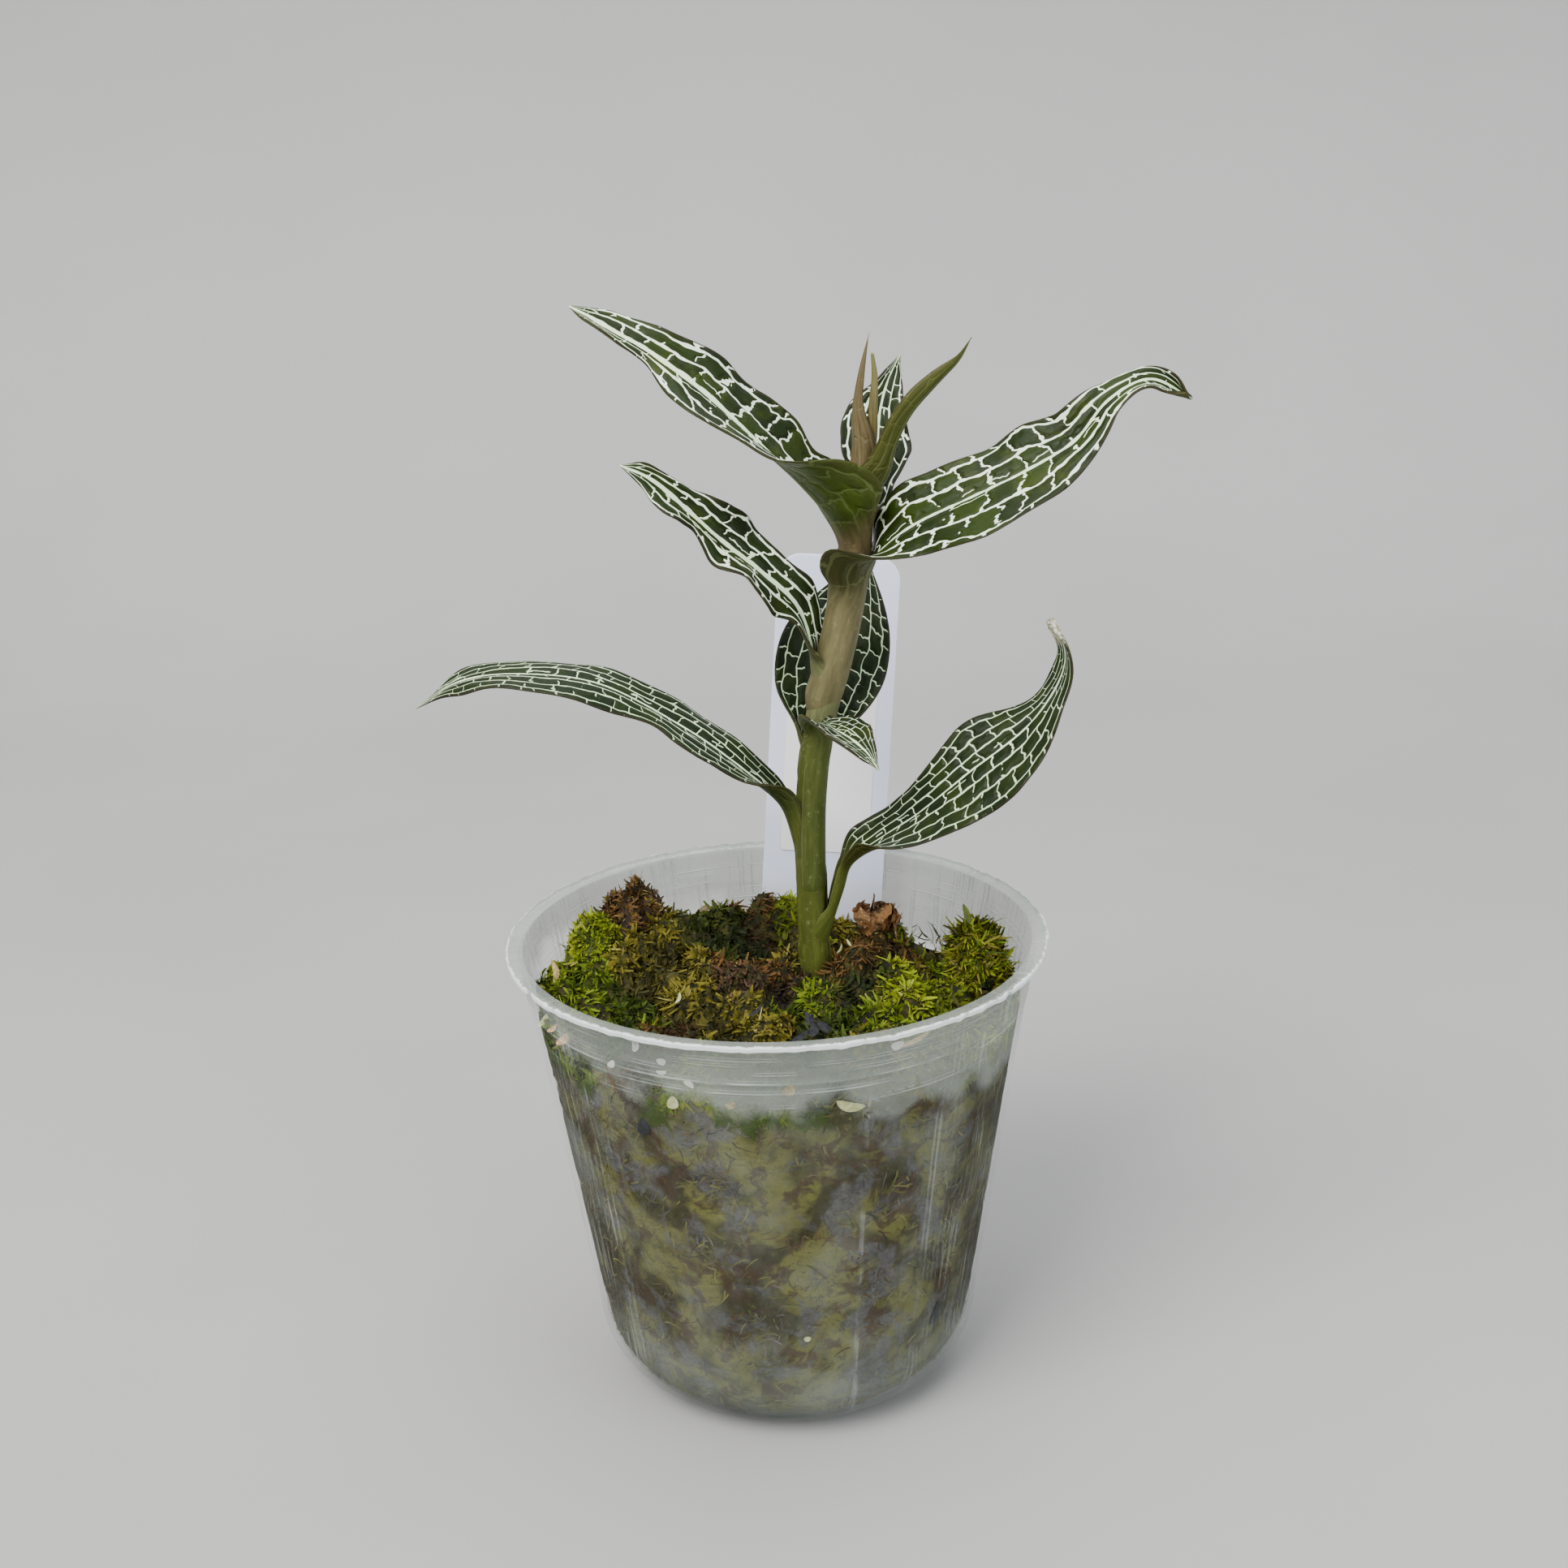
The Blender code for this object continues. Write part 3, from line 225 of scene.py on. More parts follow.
def smooth_route(stops, steps_per_span=12):
    """A curve through all the stops, each a row of numbers, with rounded corners."""
    rows = np.asarray(stops, float)
    rows = np.vstack([2 * rows[0] - rows[1], rows, 2 * rows[-1] - rows[-2]])
    curve = []
    for i in range(1, len(rows) - 2):
        a, b, c, d = rows[i - 1:i + 3]
        for t in np.arange(steps_per_span) / steps_per_span:
            curve.append(0.5 * (2 * b + (c - a) * t + (2 * a - 5 * b + 4 * c - d) * t ** 2
                                + (3 * b - a - 3 * c + d) * t ** 3))
    curve.append(rows[-2])
    return np.array(curve)


def lengths_along(curve):
    steps = np.linalg.norm(np.diff(curve[:, :3], axis=0), axis=1)
    return np.concatenate([[0.0], np.cumsum(steps)])


def even_rows(curve, places):
    """The curve's rows at the given lengths from its start."""
    along = lengths_along(curve)
    return np.stack([np.interp(places, along, curve[:, k]) for k in range(curve.shape[1])], axis=1)


STEM_CURVE = smooth_route(STEM_LINE)


def stem_at(height):
    return np.array([np.interp(height, STEM_CURVE[:, 2], STEM_CURVE[:, k]) for k in range(3)])


def unit(rows):
    return rows / np.linalg.norm(rows, axis=-1, keepdims=True)


def grid_faces(rows, columns, start=0, closed=False):
    faces = []
    last = columns if closed else columns - 1
    for i in range(rows - 1):
        for j in range(last):
            k = (j + 1) % columns
            a = start + i * columns
            b = a + columns
            faces.append((a + j, a + k, b + k, b + j))
    return faces


def wall_slope():
    return math.atan2(WALL_TOP_RADIUS - WALL_FOOT_RADIUS, POT_HEIGHT)


def wall_radius(height, inset=0.0):
    """Radius of the straight wall at a height, moved inwards by inset."""
    slope = wall_slope()
    return WALL_FOOT_RADIUS + height * math.tan(slope) - inset / math.cos(slope)


def bend_profile(inset):
    """The base and its bend as (radius, height), from the flat's edge up to the wall."""
    slope = wall_slope()
    flat = WALL_FOOT_RADIUS - BASE_BEND * math.tan((math.pi / 2 - slope) / 2)
    radius = BASE_BEND - inset
    points = []
    for step in range(BEND_STEPS + 1):
        angle = -math.pi / 2 + (math.pi / 2 - slope) * step / BEND_STEPS
        points.append((flat + radius * math.cos(angle), BASE_BEND + radius * math.sin(angle)))
    return points


def moss_height(x, y):
    """Height of the moss plug's top at a place."""
    height = MOSS_LEVEL - MOSS_EDGE_DROP * smooth_step(math.hypot(x, y), 20.0, 28.0)
    for cx, cy, rise, spread in MOSS_CLUMPS:
        height += rise * math.exp(-((x - cx) ** 2 + (y - cy) ** 2) / (0.5 * spread ** 2) / 2)
    place = Vector((x, y, 0.0)) * MOSS_GRAIN
    return height + MOSS_ROUGHNESS * noise.fractal(place, 1.0, 2.2, 3)


def sheath_radius(height, low, girth):
    """Radius of a sheath's middle, a little narrower where it starts inside the one below."""
    return SHEATH_START + (girth - SHEATH_START) * smooth_step(height, low + 3.0, low + 6.6)


def blade_share(share, widest, taper):
    """Outline of a blade: 0 at its ends and 1 where it is widest; taper thins its tip."""
    rise = taper * widest / (1 - widest)
    peak = widest ** rise * (1 - widest) ** taper
    share = np.clip(share, 0.0, 1.0)
    return share ** rise * (1 - share) ** taper / peak


def leaf_frame(leaf):
    """Stations along a leaf: its midrib, the way it faces, half widths, bend and waves."""
    low, mouth = leaf["sheath"]
    girth = leaf["girth"]
    out = direction(leaf["side"], 0)
    controls = []
    for height in np.linspace(low, mouth, 5):
        place = stem_at(height) + out * float(sheath_radius(height, low, girth))
        controls.append([*place, *-out])
    for x, y, z, azimuth, elevation in leaf["stops"]:
        controls.append([x, y, z, *direction(azimuth, elevation)])
    curve = smooth_route(controls)
    lengths = lengths_along(curve)
    mouth_place = lengths[4 * 12]
    total = lengths[-1]
    places = np.linspace(0, total, LEAF_ROWS)
    stations = even_rows(curve, places)
    middle = stations[:, :3]
    ahead = unit(even_rows(curve, places + 0.4)[:, :3] - even_rows(curve, places - 0.4)[:, :3])
    face = stations[:, 3:6] - ahead * np.sum(stations[:, 3:6] * ahead, axis=1, keepdims=True)
    face = unit(face)
    along = places - mouth_place
    blade = (along / (total - mouth_place) - leaf["neck"]) / (1 - leaf["neck"])
    inside = np.clip(blade, 0, 1)
    heights = np.interp(places, [0, mouth_place], [low, mouth])
    tube_width = math.radians(SHEATH_TURN) * sheath_radius(heights, low, girth)
    opened = smooth_step(along, -leaf["slant"], leaf["opening"])
    to_blade = smooth_step(blade, 0.0, leaf["open_by"])
    outline = blade_share(blade, leaf["widest"], leaf["taper"])
    wide = leaf["neck_width"] * (1 - to_blade) + leaf["width"] * outline
    width = np.maximum(tube_width * (1 - opened) + wide * opened, 0.12)
    turn = SHEATH_TURN * (1 - opened) + opened * (
        leaf["neck_turn"] * (1 - to_blade) + leaf["cup"] * to_blade)
    swell = smooth_step(blade, 0.03, 0.25) * (1 - smooth_step(blade, 0.85, 1.0))
    height, count, phase_a, phase_b = leaf["wave"]
    half, lift = [], []
    for number, phase in enumerate((phase_a, phase_b)):
        lopsided = leaf["skew"] * (2 * number - 1) * smooth_step(blade, 0.0, 0.3)
        side = width / 2 * (1 + lopsided)
        if leaf["edges"]:
            edge = leaf["edges"][number]
            measured = smooth_route([[v, 0.0] for v in edge], 8)[:, 0]
            measured = np.interp(inside, np.linspace(0, 1, len(measured)), measured)
            trust = smooth_step(along, leaf["opening"] - 1.0, leaf["opening"] + 2.0)
            side = side * (1 - trust) + np.maximum(measured, 0.05) * trust
        half.append(side)
        wave = np.sin(2 * math.pi * (count * inside + phase))
        flutter = np.sin(2 * math.pi * (2.3 * count * inside + 1.7 * phase))
        lift.append(swell * height * (wave + 0.2 * flutter))
    return {"middle": middle, "face": face, "across": np.cross(ahead, face), "along": along, "blade": blade,
            "opened": opened, "bend": np.radians(turn) / width, "half": np.stack(half, axis=1),
            "lift": np.stack(lift, axis=1), "neck": leaf["neck"] * (total - mouth_place)}


def leaf_sheet(leaf):
    """A leaf's middle surface as a grid of points, with the stations it was made from."""
    f = leaf_frame(leaf)
    shares = np.linspace(-1, 1, LEAF_COLUMNS + 1)
    right = (shares > 0).astype(int)
    arc = shares[None, :] * f["half"][:, right]
    bend = f["bend"][:, None]
    sideways = np.sin(bend * arc) / bend
    upwards = (1 - np.cos(bend * arc)) / bend
    upwards = upwards + f["lift"][:, right] * np.abs(shares)[None, :] ** 2.2
    upwards = upwards + SHEATH_SPIRAL * shares[None, :] * (1 - f["opened"])[:, None]
    grid = (f["middle"][:, None, :] + f["across"][:, None, :] * sideways[..., None]
            + f["face"][:, None, :] * upwards[..., None])
    return grid, f


# Materials

class Look:
    """A node material being built, with short calls for the nodes used most."""

    def __init__(self, name):
        self.mat = bpy.data.materials.new(name)
        self.mat.use_nodes = True
        self.tree = self.mat.node_tree
        self.shader = self.tree.nodes["Principled BSDF"]

    def feed(self, socket, value):
        if isinstance(value, bpy.types.NodeSocket):
            self.tree.links.new(value, socket)
        elif isinstance(value, tuple) and len(value) == 3 and socket.type == "RGBA":
            socket.default_value = (*value, 1.0)
        else:
            socket.default_value = value

    def node(self, kind, inputs=(), out=0, **settings):
        made = self.tree.nodes.new(kind)
        for key, value in settings.items():
            setattr(made, key, value)
        for number, value in dict(inputs).items():
            self.feed(made.inputs[number], value)
        return made.outputs[out]

    def math(self, operation, a, b=0.0, c=0.0):
        return self.node("ShaderNodeMath", {0: a, 1: b, 2: c}, operation=operation)

    def add(self, a, b):
        return self.math("ADD", a, b)

    def times(self, a, b):
        return self.math("MULTIPLY", a, b)

    def step(self, value, low, high, start=0.0, end=1.0):
        """Smoothly from start at low to end at high."""
        return self.node("ShaderNodeMapRange", {0: value, 1: low, 2: high, 3: start, 4: end},
                         interpolation_type="SMOOTHSTEP")

    def mix(self, share, a, b):
        return self.node("ShaderNodeMix", {0: share, 6: a, 7: b}, out=2, data_type="RGBA")

    def place(self):
        return self.node("ShaderNodeTexCoord", out=3)

    def parts(self, vector):
        split = self.tree.nodes.new("ShaderNodeSeparateXYZ")
        self.feed(split.inputs[0], vector)
        return split.outputs[0], split.outputs[1], split.outputs[2]

    def vector(self, x, y, z=0.0):
        return self.node("ShaderNodeCombineXYZ", {0: x, 1: y, 2: z})

    def stretch(self, vector, scale, offset=(0.0, 0.0, 0.0)):
        return self.node("ShaderNodeMapping", {0: vector, 1: offset, 3: scale})

    def noise(self, vector, scale=1.0, detail=3.0, roughness=0.55, distortion=0.0):
        return self.node("ShaderNodeTexNoise",
                         {"Vector": vector, "Scale": scale, "Detail": detail,
                          "Roughness": roughness, "Distortion": distortion}, out="Fac")

    def uv(self, name):
        return self.parts(self.node("ShaderNodeUVMap", uv_map=name))[:2]

    def bump(self, height, distance, strength=1.0, under=None):
        made = self.tree.nodes.new("ShaderNodeBump")
        made.inputs["Strength"].default_value = strength
        made.inputs["Distance"].default_value = distance
        self.feed(made.inputs["Height"], height)
        if under is not None:
            self.feed(made.inputs["Normal"], under)
        return made.outputs[0]

    def finish(self, colour, roughness, normal=None, **uniform):
        self.feed(self.shader.inputs["Base Color"], colour)
        self.feed(self.shader.inputs["Roughness"], roughness)
        if normal is not None:
            self.feed(self.shader.inputs["Normal"], normal)
        for name, value in uniform.items():
            self.shader.inputs[name.replace("_", " ").title().replace("Ior", "IOR")].default_value = value
        return self.mat


def add_mesh(name, points, faces, mat, smooth=True):
    """A mesh object from points in millimetres."""
    mesh = bpy.data.meshes.new(name)
    mesh.from_pydata((np.asarray(points, float) * MM).tolist(), [], faces)
    mesh.update()
    mesh.materials.append(mat)
    if smooth:
        mesh.shade_smooth()
    obj = bpy.data.objects.new(name, mesh)
    bpy.context.scene.collection.objects.link(obj)
    return obj


def give_uv(obj, name, values):
    """A UV map from one (u, v) row for each vertex."""
    layer = obj.data.uv_layers.new(name=name)
    corners = np.zeros(len(obj.data.loops), dtype=np.int32)
    obj.data.loops.foreach_get("vertex_index", corners)
    layer.data.foreach_set("uv", np.asarray(values, dtype=np.float32)[corners].ravel())


def stand_for(piece, slot, *nodes):
    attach(piece, "root")
    if nodes:
        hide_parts(*nodes)


# Leaves

LEAF_SKIN = 0.38               # thickness of the finished leaf
MIDRIB_DEPTH = 0.28
MIDRIB_WIDTH = 0.75

# What each leaf looks like: lanes between its long veins on one side, spacing of the cross veins, widths of both,
# breadth of the pale midrib, and its greens. "shade" darkens the upper side as painted shade; "sheath" colours the
# tube.
PALE = (0.58, 0.72, 0.46)
WHITE = (0.84, 0.94, 0.74)
OLIVE = (0.052, 0.066, 0.012)
TAN = (0.118, 0.088, 0.040)
GREEN_SHEATH = (0.064, 0.076, 0.012)
LEAF_LOOKS = {
    "leaf_1": dict(shade=0.55, lanes=3, spacing=2.3, long_width=0.085, cross_width=0.080, midrib=0.08, seed=3.1,
                   vein=PALE, sheath=GREEN_SHEATH, dry_tip=3.4, back=(0.050, 0.056, 0.010)),
    "leaf_2": dict(shade=0.65, lanes=3, spacing=2.4, long_width=0.080, cross_width=0.065, midrib=0.13, seed=7.7,
                   vein=PALE, sheath=GREEN_SHEATH, dry_tip=0.0, back=(0.034, 0.048, 0.010)),
    "leaf_3": dict(shade=0.35, lanes=3, spacing=1.5, long_width=0.065, cross_width=0.060, midrib=0.12, seed=1.3,
                   vein=WHITE, sheath=OLIVE, dry_tip=0.0, back=(0.040, 0.052, 0.012)),
    "leaf_4": dict(shade=0.6, lanes=3, spacing=1.9, long_width=0.075, cross_width=0.060, midrib=0.09, seed=5.9,
                   vein=PALE, sheath=OLIVE, dry_tip=0.0, back=(0.040, 0.052, 0.010)),
    "leaf_5": dict(shade=0.35, lanes=2, spacing=3.1, long_width=0.13, cross_width=0.13, midrib=0.30, seed=9.4,
                   vein=WHITE, sheath=(0.112, 0.118, 0.050), dry_tip=0.0, back=(0.036, 0.044, 0.010)),
    "leaf_6": dict(shade=0.1, seam=(0.10, -0.55, 9.0, 15.5), lanes=2, spacing=3.3, long_width=0.15, cross_width=0.15, midrib=0.16, seed=2.2,
                   vein=WHITE, sheath=(0.116, 0.102, 0.046), dry_tip=0.0, back=(0.042, 0.044, 0.010)),
    "leaf_7": dict(shade=0.15, lanes=2, spacing=3.2, long_width=0.14, cross_width=0.14, midrib=0.38, seed=4.6,
                   vein=WHITE, sheath=TAN, dry_tip=0.0, back=(0.046, 0.070, 0.006)),
    "leaf_8": dict(shade=0.6, lanes=2, spacing=2.2, long_width=0.12, cross_width=0.10, midrib=0.12, seed=8.2,
                   vein=WHITE, sheath=TAN, dry_tip=0.0, back=(0.050, 0.045, 0.012)),
    "leaf_9": dict(shade=0.0, lanes=2, spacing=2.4, long_width=0.08, cross_width=0.07, midrib=0.08, seed=6.5,
                   vein=PALE, sheath=TAN, dry_tip=0.0, back=(0.050, 0.056, 0.009)),
    "spear_outer": dict(shade=0.0, lanes=2, spacing=3.0, long_width=0.05, cross_width=0.02, midrib=0.1, seed=5.1,
                        vein=PALE, sheath=TAN, dry_tip=0.0, back=(0.108, 0.080, 0.036)),
}


def vein_net(m, look, along, share, half):
    """Distance in millimetres outside the nearest vein, negative inside it, and each cell's own number."""
    seed = look["seed"]
    lanes = float(look["lanes"])
    side = m.math("GREATER_THAN", share, 0.0)
    spread = m.math("ABSOLUTE", share)
    across = m.times(spread, half)
    flat = m.vector(along, m.times(share, half), seed)
    sway = m.noise(m.vector(m.times(along, 0.22), m.times(share, 1.6), seed), 1.0, 2.0)
    loose = 2.0 / lanes
    sway = m.times(m.math("SUBTRACT", sway, 0.5), m.step(spread, 0.0, 0.6, 0.0, 0.42 * loose))
    wiggle = m.times(m.math("SUBTRACT", m.noise(flat, 0.7, 1.0), 0.5), m.step(spread, 0.0, 0.4, 0.0, 0.12 * loose))
    reach = m.math("ABSOLUTE", m.add(spread, m.add(sway, wiggle)))
    lane = m.times(reach, lanes / LINE_REACH)
    number = m.math("FLOOR", lane)
    inside = m.math("FRACT", lane)
    lane_width = m.math("MAXIMUM", m.times(half, LINE_REACH / lanes), 0.22)
    room = m.step(lane_width, 0.25, 1.5, 0.12, 1.0)
    ragged = m.noise(flat, 0.8, 2.0, 0.45)
    to_long = m.times(m.math("MINIMUM", inside, m.math("SUBTRACT", 1.0, inside)), lane_width)
    long_width = m.step(m.math("ROUND", lane), 0.0, 3.0, 1.1 * look["long_width"], 0.75 * look["long_width"])
    long_width = m.times(m.times(long_width, room), m.add(m.times(ragged, 1.6), 0.2))
    long_line = m.math("SUBTRACT", to_long, long_width)
    lean = m.times(m.times(inside, lane_width), 0.30)
    jitter = m.noise(m.vector(m.times(along, 0.45), m.times(across, 0.75), seed + 4.0), 1.0, 2.0)
    rung = m.add(m.math("DIVIDE", m.add(along, lean), look["spacing"]), m.times(jitter, 0.9 * loose ** 0.5))
    rung = m.add(rung, m.add(m.times(number, 11.73), m.times(side, 5.31)))
    rung = m.add(rung, seed)
    random_rungs = {"W": rung, "Scale": 1.0, "Randomness": 0.8}
    to_cross = m.node("ShaderNodeTexVoronoi", random_rungs, voronoi_dimensions="1D",
                      feature="DISTANCE_TO_EDGE")
    cell = m.node("ShaderNodeTexVoronoi", random_rungs, out="Color", voronoi_dimensions="1D", feature="F1")
    cross_width = m.times(m.times(m.add(m.times(ragged, 1.6), 0.2), room), look["cross_width"])
    broken = m.step(m.noise(m.vector(along, m.times(share, half), seed + 8.0), 0.55, 1.0), 0.60, 0.66, 0.0, 0.5)
    cross_line = m.math("SUBTRACT", m.add(m.times(to_cross, look["spacing"]), broken), cross_width)
    net = m.math("SMOOTH_MIN", long_line, cross_line, 0.20 * loose)
    slim = m.step(half, 0.3, 2.2, 0.35, 1.0)
    core = m.math("SUBTRACT", across, m.times(m.times(m.add(ragged, 0.4), slim), look["midrib"]))
    beside = m.times(m.add(m.times(ragged, 1.4), 0.3), 0.42 + 1.2 * look["midrib"])
    twin = m.math("SUBTRACT", m.math("ABSOLUTE", m.math("SUBTRACT", across, beside)), m.times(slim, 0.045))
    twin = m.add(twin, m.step(m.noise(m.vector(m.times(along, 0.3), side, seed), 1.0, 1.0), 0.42, 0.52, 0.0, 0.5))
    return m.math("MINIMUM", net, m.math("SMOOTH_MIN", core, twin, 0.08)), m.parts(cell)[0], ragged


LINE_REACH = 0.84               # where the outermost long vein runs, as a share of the half width


def leaf_material(name, look, neck, tip):
    """Dark green with a white net of long and cross veins; the underside and sheath are olive."""
    m = Look(name)
    along, share = m.uv("leaf")
    half, upper = m.uv("size")
    seed = look["seed"]
    spread = m.math("ABSOLUTE", share)
    across = m.times(spread, half)
    net, cell, ragged = vein_net(m, look, along, share, half)
    vein = m.step(net, -0.03, 0.04, 1.0, 0.0)
    vein = m.times(vein, m.step(spread, 0.94, 0.985, 1.0, 0.0))
    fresh = m.step(along, neck - 0.5, neck + 3.0)
    vein = m.times(vein, m.add(m.times(fresh, 0.85), 0.15))
    # upper side
    patch = m.noise(m.vector(m.times(along, 0.35), m.times(share, 1.2), seed + 9.0), 1.0, 3.0)
    green = m.mix(m.step(cell, 0.2, 0.9), (0.008, 0.016, 0.001), (0.017, 0.032, 0.001))
    green = m.mix(m.step(patch, 0.45, 0.75), green, (0.030, 0.046, 0.001))
    # painted shade: the upper side is darkened towards a deep green by the leaf's "shade" amount
    green = m.mix(look["shade"], green, (0.005, 0.012, 0.0035))
    grey = m.noise(m.vector(along, m.times(share, half), seed + 2.0), 2.4, 4.0, 0.7)
    green = m.mix(m.step(grey, 0.50, 0.80, 0.0, 0.15), green, (0.040, 0.060, 0.010))
    from_edge = m.times(m.math("SUBTRACT", 1.0, spread), half)
    green = m.mix(m.step(from_edge, 0.0, 0.34, 0.75, 0.0), green, (0.024, 0.016, 0.008))
    pale = m.mix(m.step(across, 0.2, 2.2), (0.70, 0.86, 0.58), look["vein"])
    top = m.mix(vein, green, pale)
    # underside, neck and sheath
    streak = m.noise(m.vector(m.times(along, 0.25), m.times(share, 9.0), seed + 6.0), 1.0, 4.0, 0.65)
    under = look["back"]
    back = m.mix(m.step(streak, 0.3, 0.7), tuple(0.75 * c for c in under), tuple(1.25 * c for c in under))
    back = m.mix(m.step(spread, 0.55, 0.98, 0.0, 0.45), back, (0.042, 0.032, 0.011))
    back = m.mix(m.times(m.step(net, -0.02, 0.02, 1.0, 0.0), 0.26), back, (0.22, 0.27, 0.10))
    sheath = look["sheath"]
    tube = m.mix(m.step(streak, 0.3, 0.75), tuple(0.8 * c for c in sheath), tuple(1.3 * c for c in sheath))
    flecks = m.noise(m.vector(m.times(along, 1.3), m.times(share, 8.0), seed + 1.0), 1.0, 5.0, 0.75)
    tube = m.mix(m.step(flecks, 0.56, 0.70, 0.0, 0.24), tube, (0.34, 0.32, 0.18))
    tube = m.mix(m.step(spread, 0.960, 0.99, 0.0, 0.25), tube, (0.30, 0.28, 0.17))
    if "seam" in look:
        first, last, low, high = look["seam"]
        lean = m.step(along, low, high, last, first)
        line = m.math("ABSOLUTE", m.math("SUBTRACT", share, lean))
        line = m.times(m.step(line, 0.010, 0.034, 1.0, 0.0), m.step(along, low, low + 0.5))
        tube = m.mix(m.times(line, m.step(along, high - 0.5, high, 0.75, 0.0)), tube, (0.34, 0.33, 0.17))
    is_tube = m.step(along, neck - 2.0, neck + 2.5, 1.0, 0.0)
    back = m.mix(is_tube, back, tube)
    top = m.mix(m.times(is_tube, 0.6), top, tube)
    colour = m.mix(upper, back, top)
    if look["dry_tip"]:
        dry = m.step(along, tip - look["dry_tip"], tip - 0.45 * look["dry_tip"])
        crumb = m.noise(m.vector(along, m.times(share, half), 1.0), 3.0, 4.0, 0.7)
        colour = m.mix(dry, colour, m.mix(m.step(crumb, 0.4, 0.6), (0.22, 0.22, 0.10), (0.78, 0.74, 0.60)))
    rough = m.step(grey, 0.3, 0.8, 0.42, 0.60)
    quilt = m.times(m.step(net, 0.0, 0.7), fresh)
    pores = m.noise(m.vector(along, m.times(share, half), 0.0), 9.0, 2.0)
    normal = m.bump(m.add(quilt, m.times(pores, 0.10)), 0.00016, 0.8)
    return m.finish(colour, rough, normal, specular_ior_level=0.16)


def fine_leaf(name, leaf, look):
    """A thin leaf with a midrib groove, closed round its edge, and its two UV maps."""
    grid, f = leaf_sheet(leaf)
    face, along, neck = f["face"], f["along"], f["neck"]
    rows, count = grid.shape[:2]
    middle = count // 2
    steps = np.linalg.norm(np.diff(grid, axis=1), axis=2)
    shares = np.linspace(-1, 1, count)
    half = np.where(shares[None, :] < 0, steps[:, :middle].sum(axis=1)[:, None],
                    steps[:, middle:].sum(axis=1)[:, None])
    normal = unit(np.cross(np.gradient(grid, axis=1), np.gradient(grid, axis=0)))
    normal *= np.sign(np.sum(normal[:, middle] * face, axis=1))[:, None, None]
    groove = MIDRIB_DEPTH * np.exp(-(shares[None, :] * half / MIDRIB_WIDTH) ** 2)
    groove *= smooth_step(along, neck, neck + 6.0)[:, None] * np.minimum(half / 3.0, 1.0)
    body = grid - normal * groove[..., None]
    thin = np.sqrt(np.clip(1 - np.abs(shares) ** 10, 0.02, 1.0))[None, :, None]
    skin = LEAF_SKIN / 2 * thin * np.minimum(half / 1.0, 1.0)[..., None]
    points = np.concatenate([(body + normal * skin).reshape(-1, 3), (body - normal * skin).reshape(-1, 3)])
    under = rows * count
    faces = grid_faces(rows, count)
    faces += [tuple(reversed([k + under for k in corners])) for corners in faces]
    for i in range(rows - 1):
        a = i * count
        faces.append((a, a + count, a + count + under, a + under))
        b = a + count - 1
        faces.append((b + count, b, b + under, b + count + under))
    for j in range(count - 1):
        faces.append((j + 1, j, j + under, j + 1 + under))
        a = (rows - 1) * count + j
        faces.append((a, a + 1, a + 1 + under, a + under))
    obj = add_mesh(name + "_fine", points, faces, leaf_material(name + "_skin", look, neck, along[-1]))
    place = np.stack([np.repeat(along, count), np.tile(shares, rows)], axis=1)
    give_uv(obj, "leaf", np.concatenate([place, place]))
    size = half.reshape(-1)
    flags = np.concatenate([np.ones(under), np.zeros(under)])
    give_uv(obj, "size", np.stack([np.concatenate([size, size]), flags], axis=1))
    return obj


def build_leaves():
    for name in LEAVES:
        piece = fine_leaf(name, {**PLAIN_LEAF, **LEAVES[name]}, LEAF_LOOKS[name])
        young = name in ("leaf_9", "spear_outer")
        stand_for(piece, "young_leaf_brown" if young else "leaf_green", name)


def young_material(name):
    """Olive brown with long streaks, for rolled leaves and the wrapped stem."""
    m = Look(name)
    x, y, z = m.parts(m.place())
    streak = m.noise(m.vector(m.times(x, 900.0), m.times(y, 900.0), m.times(z, 90.0)), 1.0, 4.0)
    grain = m.noise(m.place(), 2600.0, 2.0)
    colour = m.mix(m.step(streak, 0.3, 0.7), (0.060, 0.060, 0.012), (0.190, 0.150, 0.055))
    colour = m.mix(m.step(z, 0.110, 0.117, 0.0, 0.6), colour, (0.14, 0.16, 0.03))
    return m.finish(colour, m.step(grain, 0.3, 0.7, 0.35, 0.5), m.bump(streak, 0.00006), specular_ior_level=0.4)


def build_spear_inner():
    curve = smooth_route(SPEAR_INNER)
    places = np.linspace(0, lengths_along(curve)[-1], 60)
    route = even_rows(curve, places)
    share = places / places[-1]
    radii = SPEAR_INNER_RADIUS * (1 - 0.75 * share ** 2)
    sides = 28
    points = []
    for centre, radius in zip(route, radii):
        for k in range(sides):
            turn = 2 * math.pi * k / sides
            fold = 1 - 0.16 * math.exp(-((turn - 4.9) / 0.22) ** 2)
            points.append(centre + radius * fold * np.array([math.cos(turn), math.sin(turn), 0.0]))
    faces = grid_faces(len(route), sides, closed=True)
    faces.append(tuple(reversed(range(sides))))
    faces.append(tuple(range((len(route) - 1) * sides, len(route) * sides)))
    piece = add_mesh("spear_inner_fine", points, faces, young_material("spear_inner_skin"))
    stand_for(piece, "young_leaf_brown", "spear_inner")


# Pot

